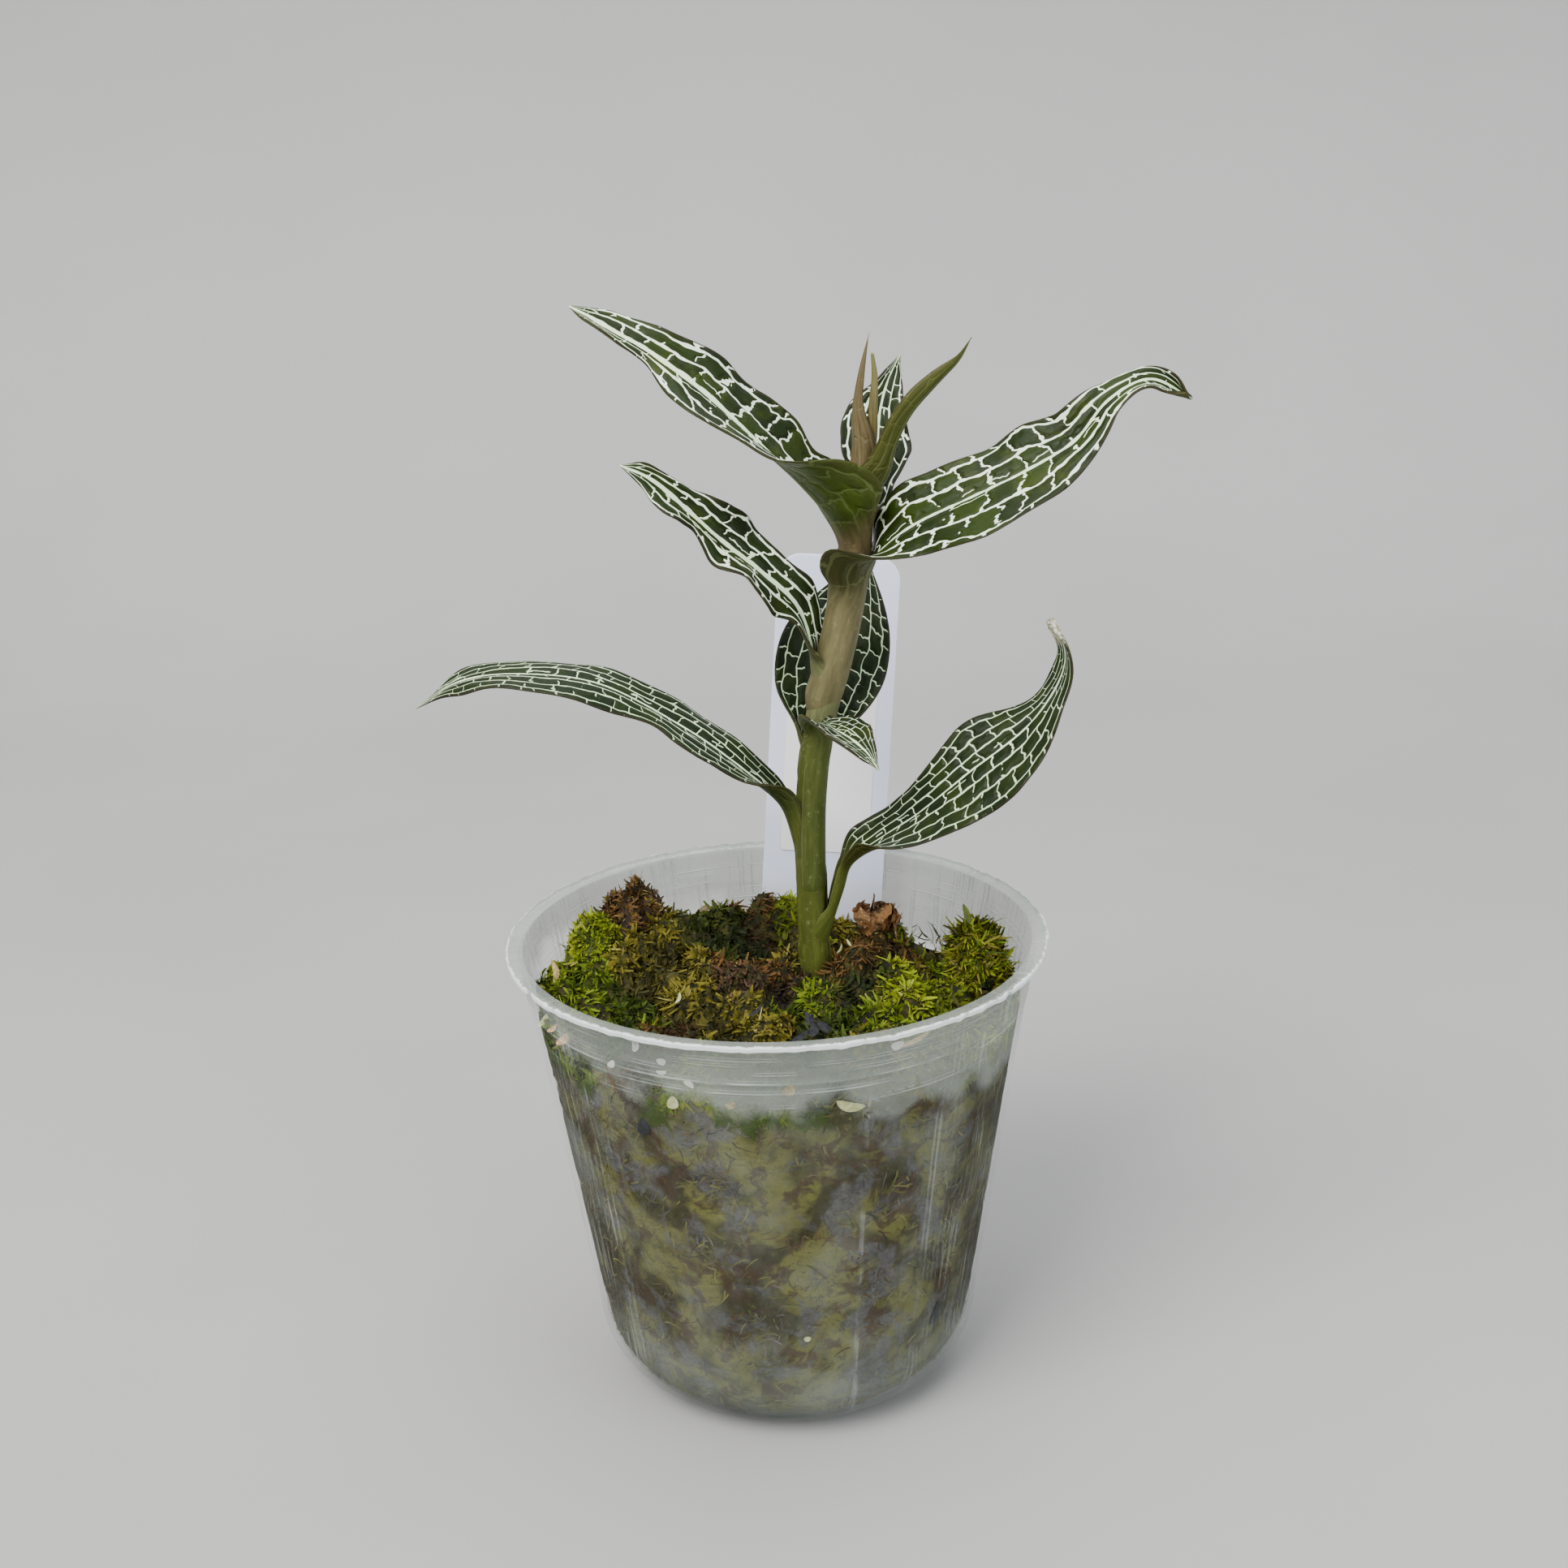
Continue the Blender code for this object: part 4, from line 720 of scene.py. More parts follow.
def plastic_material():
    """Milky plastic: clear where moss presses on it, cloudy above, with mould lines and scuffs."""
    m = Look("soft_clear_plastic_wall")
    x, y, z = m.parts(m.place())
    turn = m.math("ARCTAN2", y, x)
    cloud = m.noise(m.place(), 130.0, 4.0, 0.6)
    scratch = m.noise(m.vector(m.times(turn, 170.0), m.times(z, 240.0)), 1.0, 5.0, 0.7)
    hoops = m.noise(m.vector(m.times(turn, 1.5), m.times(z, 1500.0)), 1.0, 3.0, 0.6)
    seams = None
    for angle in MOULD_LINES:
        line = m.math("ABSOLUTE", m.math("SUBTRACT", turn, math.radians(angle)))
        line = m.step(line, 0.0, 0.010, 1.0, 0.0)
        seams = line if seams is None else m.math("MAXIMUM", seams, line)
    seams = m.times(m.times(seams, m.step(z, 0.044, 0.047, 1.0, 0.0)), m.step(cloud, 0.42, 0.58))
    tilted = m.add(z, m.times(x, 0.13))
    band = m.step(m.add(tilted, m.times(m.math("SUBTRACT", cloud, 0.5), 0.012)), 0.0425, 0.0462)
    reach = m.math("SQRT", m.add(m.times(x, x), m.times(y, y)))
    torn = m.times(m.math("SUBTRACT", m.noise(m.place(), 900.0, 3.0, 0.7), 0.5), 0.0009)
    rim = m.step(m.add(reach, torn), (RIM_RADIUS - 0.46) * MM, (RIM_RADIUS - 0.22) * MM)
    fine = None
    for height in FINE_RINGS:
        line = m.step(m.math("ABSOLUTE", m.math("SUBTRACT", z, height * MM)), 0.0, 0.00016, 1.0, 0.0)
        fine = line if fine is None else m.math("MAXIMUM", fine, line)
    fine = m.times(fine, m.step(m.noise(m.vector(m.times(turn, 3.0), m.times(z, 700.0)), 1.0, 2.0), 0.44, 0.60))
    low = m.step(z, 0.004, 0.018, 0.09, 0.0)
    milky = m.mix(band, m.vector(m.step(cloud, 0.35, 0.75, 0.01, 0.10), 0.0), m.vector(0.34, 0.0))
    milky = m.parts(milky)[0]
    milky = m.add(m.add(milky, low), m.add(m.times(seams, 0.13), m.times(rim, 0.42)))
    milky = m.add(milky, m.times(m.step(hoops, 0.52, 0.70, 0.0, 0.04), m.step(z, 0.043, 0.046)))
    milky = m.add(milky, m.times(fine, 0.16))
    milky = m.add(milky, m.step(scratch, 0.62, 0.76, 0.0, 0.16))
    aside = m.step(m.math("ABSOLUTE", m.add(turn, math.radians(91.0))), 0.55, 0.95)
    streaks = m.noise(m.vector(m.times(turn, 60.0), m.times(z, 70.0)), 1.0, 4.0, 0.65)
    milky = m.add(milky, m.times(m.step(streaks, 0.55, 0.67, 0.0, 0.34), aside))
    m.feed(m.shader.inputs["Alpha"], m.math("MINIMUM", milky, 1.0))
    colour = m.mix(m.step(cloud, 0.35, 0.7), (0.32, 0.36, 0.32), (0.40, 0.44, 0.39))
    colour = m.mix(m.math("MAXIMUM", rim, m.times(m.math("MAXIMUM", fine, seams), 0.6)), colour, (0.80, 0.84, 0.83))
    relief = m.add(m.times(hoops, 0.6), m.add(m.times(seams, 1.2), m.times(fine, 1.6)))
    normal = m.bump(m.add(m.times(scratch, 0.5), relief), 0.00008, 0.7)
    return m.finish(colour, m.step(scratch, 0.3, 0.8, 0.24, 0.40), normal, ior=1.42)


FINE_RINGS = (50.2, 49.5, 48.5, 47.5, 46.3, 44.6)   # heights of the faint rings round the wall
MOULD_LINES = (-71.0, -52.0, -139.0, 15.0, 75.0, 160.0)


def build_pot():
    outer = bend_profile(0.0)
    wall_points = []
    for height, relief in sorted(RINGS):
        wall_points.append((wall_radius(height - RING_HALF_WIDTH), height - RING_HALF_WIDTH))
        wall_points.append((wall_radius(height) + relief, height))
        wall_points.append((wall_radius(height + RING_HALF_WIDTH), height + RING_HALF_WIDTH))
    first = wall_points[0][1]
    for height in np.linspace(BASE_BEND + 0.5, first - 0.5, 14):
        outer.append((wall_radius(height), height))
    outer += wall_points
    under_rim = POT_HEIGHT - RIM_THICKNESS
    outer += [(wall_radius(under_rim) + 0.02, under_rim), (wall_radius(under_rim) + 0.5, under_rim - 0.02)]
    edge_start = len(outer)
    outer += [(RIM_RADIUS - 0.25, under_rim), (RIM_RADIUS, under_rim + 0.18), (RIM_RADIUS, POT_HEIGHT - 0.15),
              (RIM_RADIUS - 0.2, POT_HEIGHT)]
    edge_end = len(outer)
    inner_top = wall_radius(POT_HEIGHT, WALL)
    profile = outer + [(inner_top + 0.7, POT_HEIGHT - 0.03), (inner_top, POT_HEIGHT - 0.25)]
    for height in np.linspace(POT_HEIGHT - 1.5, BASE_BEND + 0.5, 14):
        profile.append((wall_radius(height, WALL), height))
    profile += bend_profile(WALL)[::-1]
    points = []
    for number, (radius, height) in enumerate(profile):
        for k in range(POT_SEGMENTS):
            turn = 2 * math.pi * k / POT_SEGMENTS
            place = Vector((math.cos(turn), math.sin(turn), 0.0))
            bulge = 0.12 * noise.noise(place * 1.7 + Vector((0, 0, height * 0.04)))
            bulge *= smooth_step(height, 4.0, 14.0) * (1 - smooth_step(height, 44.0, 50.0))
            r = radius - 0.12 + bulge if 8.0 < height < 50.0 else radius
            lift = 0.0
            if edge_start <= number < edge_end:
                tear = noise.noise(place * 26.0) + 0.6 * noise.noise(place * 61.0)
                r += RIM_ROUGHNESS * (noise.noise(place * 7.0) - 0.6) - 0.30 * max(0.0, tear)
                lift = -0.30 * max(0.0, noise.noise(place * 31.0 + Vector((0, 0, 4.0))))
            points.append((r * math.cos(turn), r * math.sin(turn), height + lift))
    faces = grid_faces(len(profile), POT_SEGMENTS, closed=True)
    low_centre = len(points)
    points += [(0.0, 0.0, 0.0), (0.0, 0.0, WALL)]
    last = (len(profile) - 1) * POT_SEGMENTS
    for k in range(POT_SEGMENTS):
        n = (k + 1) % POT_SEGMENTS
        faces.append((low_centre, n, k))
        faces.append((low_centre + 1, last + k, last + n))
    pot = add_mesh("pot_fine", points, faces, plastic_material())
    pot.data.set_sharp_from_angle(angle=math.radians(45))
    for number in range(DRAIN_HOLES):
        turn = 2 * math.pi * number / DRAIN_HOLES + math.radians(DRAIN_TURN)
        bpy.ops.mesh.primitive_cylinder_add(
            vertices=32, radius=DRAIN_RADIUS * MM, depth=4 * WALL * MM,
            location=(DRAIN_CIRCLE * math.cos(turn) * MM, DRAIN_CIRCLE * math.sin(turn) * MM, 0.0))
        cutter = bpy.context.object
        cut = pot.modifiers.new("drain", "BOOLEAN")
        cut.operation = "DIFFERENCE"
        cut.object = cutter
        bpy.context.view_layer.objects.active = pot
        bpy.ops.object.modifier_apply(modifier=cut.name)
        bpy.data.objects.remove(cutter, do_unlink=True)
    stand_for(pot, "soft_clear_plastic", "pot")


# Moss

STRAND_ROWS = 4
STRAND_TAPER = (0.8, 1.0, 1.0, 0.5)
WALL_CLEARANCE = 0.15          # how far moss stays from the inside of the wall
MOSS_SEGMENTS_SIDE = 40
HEAD_SIZE = 6.0                # distance between the small heads of moss
HEAD_DEPTH = 2.6
BED_STRANDS = 60000
TUFT_STRANDS = 5200
SIDE_FIBRES = 9000
# colours of each kind of moss at a strand's foot and at its tip; the foot colour is darker as painted shade deep in
# the moss
MOSS_COLOURS = {
    "bright": ((0.055, 0.072, 0.002), (0.210, 0.260, 0.005)),
    "green": ((0.020, 0.036, 0.002), (0.120, 0.170, 0.004)),
    "olive": ((0.022, 0.020, 0.003), (0.130, 0.112, 0.008)),
    "dark": ((0.007, 0.012, 0.002), (0.042, 0.062, 0.004)),
    "brown": ((0.016, 0.008, 0.002), (0.115, 0.056, 0.014)),
    "purple": ((0.010, 0.006, 0.003), (0.064, 0.034, 0.018)),
}
FIBRE_COLOURS = {
    "olive": ((0.045, 0.041, 0.010), (0.135, 0.128, 0.040)), "dark": ((0.018, 0.023, 0.005), (0.075, 0.085, 0.020)),
    "brown": ((0.022, 0.012, 0.005), (0.095, 0.054, 0.022)), "purple": ((0.030, 0.024, 0.024), (0.100, 0.090, 0.084)),
}
MOSS_SLOTS = {"bright": "moss_bright", "green": "moss_green", "olive": "moss_olive",
              "dark": "moss_olive", "brown": "moss_brown", "purple": "moss_brown"}
# Where each colour of moss grows: x, y, radius, colour
PATCHES = (
    (-18.0, 15.0, 4.5, "brown"), (-21.0, 4.0, 4.5, "bright"), (-14.0, 1.5, 5.0, "olive"),
    (-7.3, 9.5, 4.4, "dark"), (-2.6, 13.0, 2.8, "brown"), (1.0, 15.0, 3.4, "bright"),
    (-24.0, -1.0, 4.5, "green"), (-19.0, -8.5, 6.0, "green"), (-13.0, 10.5, 2.6, "olive"),
    (-3.5, -5.0, 4.6, "purple"), (-3.0, 1.5, 3.2, "brown"), (-9.0, -7.0, 4.4, "olive"),
    (-11.0, -16.5, 4.4, "brown"), (-4.5, -15.5, 5.5, "olive"), (-6.0, -20.5, 5.0, "green"),
    (3.0, -10.0, 4.2, "green"), (4.8, -17.5, 3.0, "dark"), (3.0, 8.0, 3.4, "olive"),
    (11.4, 6.8, 4.6, "brown"), (9.5, -2.5, 3.4, "brown"), (9.8, -6.5, 4.4, "dark"),
    (13.0, 1.0, 3.0, "olive"), (15.5, -6.5, 5.6, "bright"), (21.8, -1.0, 4.0, "olive"),
    (22.0, 6.0, 5.0, "green"), (11.0, -13.0, 4.4, "green"), (12.0, -19.0, 4.0, "olive"),
    (18.5, -13.0, 4.0, "bright"), (16.0, 15.0, 6.0, "green"), (6.0, 21.0, 5.0, "olive"),
    (-10.0, 20.0, 5.0, "olive"), (-23.0, 10.0, 4.0, "brown"), (25.0, -5.0, 3.0, "bright"),
)


def moss_kind(x, y, spread):
    """The colour of moss that grows at a place; spread between 0 and 1 blurs the borders."""
    place = Vector((x, y, 0.0))
    best, kind = 1e9, "olive"
    for cx, cy, radius, name in PATCHES:
        away = math.hypot(x - cx, y - cy) / radius
        away += 0.35 * noise.noise(place * 0.55 + Vector((cx, cy, 0.0))) + 0.30 * spread
        if away < best:
            best, kind = away, name
    return kind


def head_depth(x, y):
    """0 on top of a small head of moss and 1 in the gap between heads."""
    place = Vector((x, y, 0.0)) / HEAD_SIZE
    place += 0.35 * noise.noise_vector(place * 1.7)
    near = noise.voronoi(Vector((place.x, place.y, 0.0)))[0]
    return float(smooth_step(near[0] / max(near[1], 0.01), 0.35, 1.0))


def fuzzy_height(x, y):
    place = Vector((x, y, 3.0))
    lumps = 0.45 * noise.fractal(place * 1.2, 1.0, 2.1, 3)
    return moss_height(x, y) + lumps + 0.45 - HEAD_DEPTH * head_depth(x, y)


def inner_radius(height, inset):
    """Radius of the pot's inside, moved in by inset, also round the bend into the base."""
    profile = bend_profile(WALL + inset)
    heights = [h for r, h in profile]
    radii = [r for r, h in profile]
    straight = wall_radius(height, WALL + inset)
    return np.where(height < heights[-1], np.interp(height, heights, radii), straight)


def bed_material():
    """Dark peaty moss between the strands on top; pressed, mottled moss where the wall shows it, with painted shade
    on the pot's left and right sides as seen from the front.
    """
    m = Look("moss_bed_skin")
    x, y, z = m.parts(m.place())
    around = m.stretch(m.place(), (1000.0, 1000.0, 1000.0))
    broad = m.noise(around, 0.13, 3.0, 0.6, 0.6)
    middle = m.noise(m.stretch(around, (1.0, 1.0, 1.0), (7.0, 3.0, 0.0)), 0.28, 4.0, 0.65, 0.8)
    fibre = m.noise(around, 1.3, 5.0, 0.75, 1.5)
    reach = m.math("SQRT", m.add(m.times(x, x), m.times(y, y)))
    # painted shade: edge marks the pot's left and right sides as seen from the front, where the view meets the wall
    # at a low angle
    ahead = m.math("DIVIDE", m.add(m.times(x, -0.07), m.times(y, -1.0)), m.math("MAXIMUM", reach, 0.001))
    edge = m.times(m.step(ahead, 0.30, 0.82, 1.0, 0.0), m.step(ahead, -0.5, 0.0))
    pressed = m.mix(m.step(broad, 0.42, 0.56), (0.026, 0.023, 0.006), (0.102, 0.101, 0.021))
    pressed = m.mix(m.step(middle, 0.50, 0.58, 0.0, 0.88), pressed, (0.038, 0.019, 0.008))
    pressed = m.mix(m.step(fibre, 0.54, 0.70, 0.0, 0.55), pressed, (0.140, 0.140, 0.042))
    pressed = m.mix(m.step(fibre, 0.32, 0.46, 0.85, 0.0), pressed, (0.012, 0.010, 0.004))
    hollow = m.noise(m.stretch(around, (1.0, 1.0, 1.0), (31.0, 17.0, 0.0)), 0.21, 3.0, 0.6, 0.4)
    misty = m.mix(m.step(fibre, 0.35, 0.65), (0.040, 0.038, 0.040), (0.098, 0.096, 0.098))
    pressed = m.mix(m.step(hollow, 0.50, 0.62, 0.0, 0.80), pressed, misty)
    # painted shade: the pressed moss is darkened on those two sides
    pressed = m.mix(m.times(edge, 0.62), pressed, (0.020, 0.019, 0.010))
    peat = m.mix(m.step(m.noise(m.place(), 900.0, 4.0), 0.4, 0.65), (0.010, 0.010, 0.002), (0.048, 0.044, 0.008))
    on_side = m.step(m.math("SUBTRACT", reach, m.add(m.times(z, 0.1524), 0.0180)), 0.0, 0.0005)
    on_side = m.math("MAXIMUM", on_side, m.step(z, 0.030, 0.034, 1.0, 0.0))
    colour = m.mix(on_side, peat, pressed)
    normal = m.bump(m.noise(m.place(), 1500.0, 4.0, 0.7), 0.0004)
    return m.finish(colour, m.step(fibre, 0.3, 0.7, 0.75, 0.95), normal, specular_ior_level=0.25)


def build_moss():
    """The fine moss plug: its side pressed against the wall, its top lumpy."""
    inset = WALL + WALL_CLEARANCE
    segments = MOSS_SEGMENTS
    rings = [(radius, height) for radius, height in bend_profile(WALL + GAP)]
    for height in np.linspace(BASE_BEND + 1.0, MOSS_LEVEL - MOSS_EDGE_DROP - 2.5, MOSS_SEGMENTS_SIDE):
        rings.append((wall_radius(height, inset), height))
    points = [(0.0, 0.0, WALL + GAP)]
    for number, (radius, height) in enumerate(rings):
        for k in range(segments):
            turn = 2 * math.pi * k / segments
            place = Vector((radius * math.cos(turn), radius * math.sin(turn), height))
            relief = 0.0
            if height > BASE_BEND:
                relief = 0.9 * max(0.0, noise.fractal(place * 0.22, 1.0, 2.0, 3))
            r = radius - relief
            points.append((r * math.cos(turn), r * math.sin(turn), height))
    for ring in range(MOSS_RINGS, 0, -1):
        share = ring / MOSS_RINGS
        for k in range(segments):
            turn = 2 * math.pi * k / segments
            guess = wall_radius(MOSS_LEVEL - MOSS_EDGE_DROP, inset) * share
            height = fuzzy_height(guess * math.cos(turn), guess * math.sin(turn))
            radius = min(wall_radius(height, inset), guess) if ring == MOSS_RINGS else guess
            points.append((radius * math.cos(turn), radius * math.sin(turn), height))
    points.append((0.0, 0.0, fuzzy_height(0.0, 0.0)))
    faces = grid_faces(len(rings) + MOSS_RINGS, segments, start=1, closed=True)
    last = len(points) - 1
    for k in range(segments):
        n = (k + 1) % segments
        faces.append((0, 1 + k, 1 + n))
        faces.append((last, last - segments + n, last - segments + k))
    stand_for(add_mesh("moss_bed_fine", points, faces, bed_material()), "moss_green", "moss_bed")


def strand_material(kind):
    """Darker at the foot of each strand as painted shade deep in the moss, lighter at its tip, each strand a little
    different, and darker again by its "hollow" number.
    """
    foot, tip = MOSS_COLOURS[kind]
    m = Look(f"moss_{kind}_strands")
    along, own = m.uv("strand")
    cloud = m.noise(m.place(), 700.0, 3.0, 0.6)
    hollow = m.uv("hollow")[0]
    # painted shade: each strand runs from its dark foot, deep in the moss, to its lighter tip
    rise = m.step(m.add(along, m.times(own, 0.45)), 0.05, 1.1)
    # painted shade: the "hollow" number darkens strands in the gaps between heads of the bed, and in noise patches on
    # the tufts
    rise = m.times(rise, m.step(hollow, 0.1, 0.9, 1.0, 0.12))
    colour = m.mix(rise, foot, tip)
    warm = tuple(0.55 * c + 0.45 * w for c, w in zip(tip, (0.20, 0.12, 0.03)))
    colour = m.mix(m.times(m.step(cloud, 0.48, 0.66), m.step(own, 0.2, 0.8)), colour, warm)
    colour = m.mix(m.step(own, 0.90, 0.97, 0.0, 0.6), colour, (0.36, 0.32, 0.10))
    grain = m.noise(m.place(), 5000.0, 2.0)
    normal = m.bump(grain, 0.00008)
    return m.finish(colour, m.step(cloud, 0.3, 0.7, 0.6, 0.85), normal, specular_ior_level=0.18)


def fibre_material(kind):
    """Pressed fibres: one muted tone each, close to the moss behind them."""
    m = Look(f"moss_{kind}_fibres")
    along, own = m.uv("strand")
    low, high = FIBRE_COLOURS[kind]
    cloud = m.noise(m.place(), 900.0, 3.0, 0.6)
    colour = m.mix(m.step(m.add(own, m.times(cloud, 0.6)), 0.3, 1.3), low, high)
    return m.finish(colour, m.step(cloud, 0.3, 0.7, 0.7, 0.9), m.bump(cloud, 0.0001), specular_ior_level=0.2)


def strand_mesh(name, rows, mat):
    """Small tapering ribbons; a row is root, lean, curl, way faced, length, width, own number, depth."""
    rows = np.array(rows)
    root, lean, curl, facing = (rows[:, 3 * k:3 * k + 3] for k in range(4))
    length, width, own = rows[:, 12], rows[:, 13], rows[:, 14]
    steps = np.linspace(0, 1, STRAND_ROWS)[None, :, None]
    spine = root[:, None] + length[:, None, None] * (lean[:, None] * steps + curl[:, None] * steps ** 2)
    side = unit(np.cross(lean, facing))
    breadth = width[:, None, None] * np.array(STRAND_TAPER)[None, :, None] / 2
    points = np.stack([spine - side[:, None] * breadth, spine + side[:, None] * breadth], axis=2)
    points = points.reshape(-1, 3)
    reach = np.hypot(points[:, 0], points[:, 1])
    limit = inner_radius(points[:, 2], 0.11)
    points[:, :2] *= np.minimum(1.0, limit / reach)[:, None]
    quads = np.array([(2 * s, 2 * s + 1, 2 * s + 3, 2 * s + 2) for s in range(STRAND_ROWS - 1)])
    starts = np.arange(len(rows)) * 2 * STRAND_ROWS
    faces = (starts[:, None, None] + quads[None]).reshape(-1, 4)
    obj = add_mesh(name, points, faces.tolist(), mat)
    along = np.tile(np.repeat(np.linspace(0, 1, STRAND_ROWS), 2), len(rows))
    give_uv(obj, "strand", np.stack([along, np.repeat(own, 2 * STRAND_ROWS)], axis=1))
    give_uv(obj, "hollow", np.stack([np.repeat(rows[:, 15], 2 * STRAND_ROWS), along], axis=1))
    return obj


def combed(place, scale, seed):
    """A smooth swirling direction, so that neighbouring strands lie alike."""
    p = place * scale
    return np.array([noise.noise(p + Vector((seed, 0.0, 0.0))), noise.noise(p + Vector((0.0, seed, 0.0))),
                     0.5 * noise.noise(p + Vector((0.0, 0.0, seed)))])


def scatter(draw, size):
    return np.array([draw.gauss(0, size), draw.gauss(0, size), draw.gauss(0, size)])


def strand_row(draw, root, normal, lie, rise, length, width, depth):
    lean = unit(lie + normal * rise + scatter(draw, 0.34))
    curl = 0.7 * (lie * draw.uniform(0.1, 1.0) - normal * draw.uniform(0.3, 1.3) * rise) + scatter(draw, 0.60)
    facing = unit(normal + scatter(draw, 0.32))
    # painted shade: the own number is lowered by depth, so strands in the gaps between heads come out darker
    return [*root, *lean, *curl, *facing, length, width, draw.random() * (1 - 0.85 * depth), depth]


def bed_strands(draw, groups):
    for _ in range(BED_STRANDS):
        reach = 28.2 * math.sqrt(draw.random())
        turn = draw.uniform(0, 2 * math.pi)
        x, y = reach * math.cos(turn), reach * math.sin(turn)
        height = fuzzy_height(x, y)
        slope_x = (fuzzy_height(x + 0.4, y) - height) / 0.4
        slope_y = (fuzzy_height(x, y + 0.4) - height) / 0.4
        normal = unit(np.array([-slope_x, -slope_y, 1.0]))
        depth = head_depth(x, y)
        place = Vector((x, y, height))
        downhill = np.array([-slope_x, -slope_y, 0.0])
        lie = combed(place, 0.35, 31.0) * 1.3 + combed(place, 1.2, 57.0) * 1.1 + downhill * 0.35
        lie = lie - normal * (lie @ normal)
        kind = moss_kind(x, y, draw.random())
        length = draw.uniform(0.35, 0.95)
        width = draw.uniform(0.18, 0.46)
        if kind in ("brown", "purple"):
            length *= 0.9
            width *= 0.8
        root = (x, y, height - 0.10)
        groups[kind].append(strand_row(draw, root, normal, lie, draw.uniform(0.0, 0.42), length, width, depth))


def tuft_point(shape, share, turn, bumps):
    """A point on a tuft's top, with the way it faces."""
    x, y, radius, height = shape
    radius, height = 0.92 * radius, 0.80 * height
    place = Vector((math.cos(turn) * share, math.sin(turn) * share, 0.0))
    lumpy = 1 + 0.42 * noise.fractal(place * 2.6 + Vector((x, y, 0.0)), 1.0, 2.2, 3) * bumps
    px = x + radius * share * math.cos(turn) * lumpy
    py = y + radius * share * math.sin(turn) * lumpy
    rise = (1.4 * (1 - share ** 6) + height * (1 - share ** 2) ** 0.8) * lumpy
    up = 0.25 + 1.3 * (1 - share ** 2)
    normal = unit(np.array([math.cos(turn) * share, math.sin(turn) * share, up]))
    return np.array([px, py, moss_height(px, py) + rise - 0.3 * share]), normal


TUFT_KINDS = {
    "moss_tuft_brown_left": (("brown", 0.6), ("purple", 0.85), ("olive", 1.0)),
    "moss_tuft_green_left": (("bright", 0.62), ("green", 0.92), ("olive", 1.0)),
    "moss_tuft_right": (("green", 0.30), ("olive", 0.75), ("bright", 1.0)),
}


def build_tufts(draw, groups):
    for name, shape in TUFTS.items():
        x, y, radius, height = shape
        points = []
        rings, sides = 24, 60
        for ring in range(rings, 0, -1):
            for k in range(sides):
                points.append(tuft_point(shape, ring / rings, 2 * math.pi * k / sides, 1.0)[0])
        points.append(tuft_point(shape, 0.0, 0.0, 1.0)[0])
        faces = grid_faces(rings, sides, closed=True)
        last = len(points) - 1
        for k in range(sides):
            faces.append((last, last - sides + (k + 1) % sides, last - sides + k))
        under = [(p[0], p[1], moss_height(p[0], p[1]) - 0.6) for p in points[:sides]]
        start = len(points)
        points += under
        for k in range(sides):
            n = (k + 1) % sides
            faces.append((k, start + k, start + n, n))
        faces.append(tuple(start + k for k in range(sides)))
        main = TUFT_KINDS[name][0][0]
        core = add_mesh(name + "_core", points, faces, CORE_MATERIALS[main])
        stand_for(core, MOSS_SLOTS[main], name)
        for _ in range(TUFT_STRANDS):
            share = math.sqrt(draw.random())
            turn = draw.uniform(0, 2 * math.pi)
            root, normal = tuft_point(shape, share, turn, 1.0)
            place = Vector(root)
            lie = combed(place, 0.5, 11.0) * 1.2 + combed(place, 1.3, 23.0) * 0.8
            lie = lie - normal * (lie @ normal)
            pick = draw.random()
            kind = next(k for k, limit in TUFT_KINDS[name] if pick <= limit)
            length = draw.uniform(0.30, 0.70)
            rise = draw.uniform(0.0, 0.35)
            if name == "moss_tuft_right":
                rise = draw.uniform(0.1, 0.8)
                length = draw.uniform(0.40, 1.2)
            depth = float(smooth_step(noise.noise(place * 0.9), 0.0, 0.5))
            groups[kind].append(strand_row(draw, root - normal * 0.15, normal, lie, rise, length,
                                           draw.uniform(0.18, 0.38), depth))


def side_fibres(draw, groups):
    """Fibres pressed flat against the inside of the wall."""
    for _ in range(SIDE_FIBRES):
        height = draw.uniform(3.0, 44.5)
        turn = draw.uniform(-math.pi, math.pi)
        radius = float(inner_radius(height, draw.uniform(0.10, 0.7)))
        radial = np.array([math.cos(turn), math.sin(turn), -0.15])
        tangent = np.array([-math.sin(turn), math.cos(turn), 0.0])
        place = Vector((radius * math.cos(turn), radius * math.sin(turn), height))
        swirl = 9.0 * noise.noise(place * 0.16) + draw.gauss(0, 0.6)
        lean = tangent * math.cos(swirl) + np.array([0.0, 0.0, math.sin(swirl)])
        bend = draw.gauss(0, 0.9)
        curl = bend * (tangent * math.sin(swirl) - np.array([0.0, 0.0, math.cos(swirl)]))
        tone = noise.fractal(place * 0.16 + Vector((9.0, 4.0, 2.0)), 1.0, 2.0, 3) + draw.gauss(0, 0.10)
        kind = "brown" if tone > 0.22 else "olive" if tone > -0.20 else "dark" if tone < -0.42 else "purple"
        groups[kind].append([*place, *lean, *curl, *radial, draw.uniform(0.7, 2.4),
                             draw.uniform(0.08, 0.24), draw.random(), 0.0])


CORE_MATERIALS = {}


def core_material(kind):
    m = Look(f"moss_{kind}_core")
    foot, tip = MOSS_COLOURS[kind]
    grain = m.noise(m.place(), 1400.0, 4.0, 0.7)
    # painted shade: the core under the strands takes the strand colours darkened to about a half and a third
    colour = m.mix(m.step(grain, 0.4, 0.7), tuple(0.5 * c for c in foot), tuple(0.35 * c for c in tip))
    return m.finish(colour, m.step(grain, 0.3, 0.7, 0.8, 0.95), m.bump(grain, 0.0004))


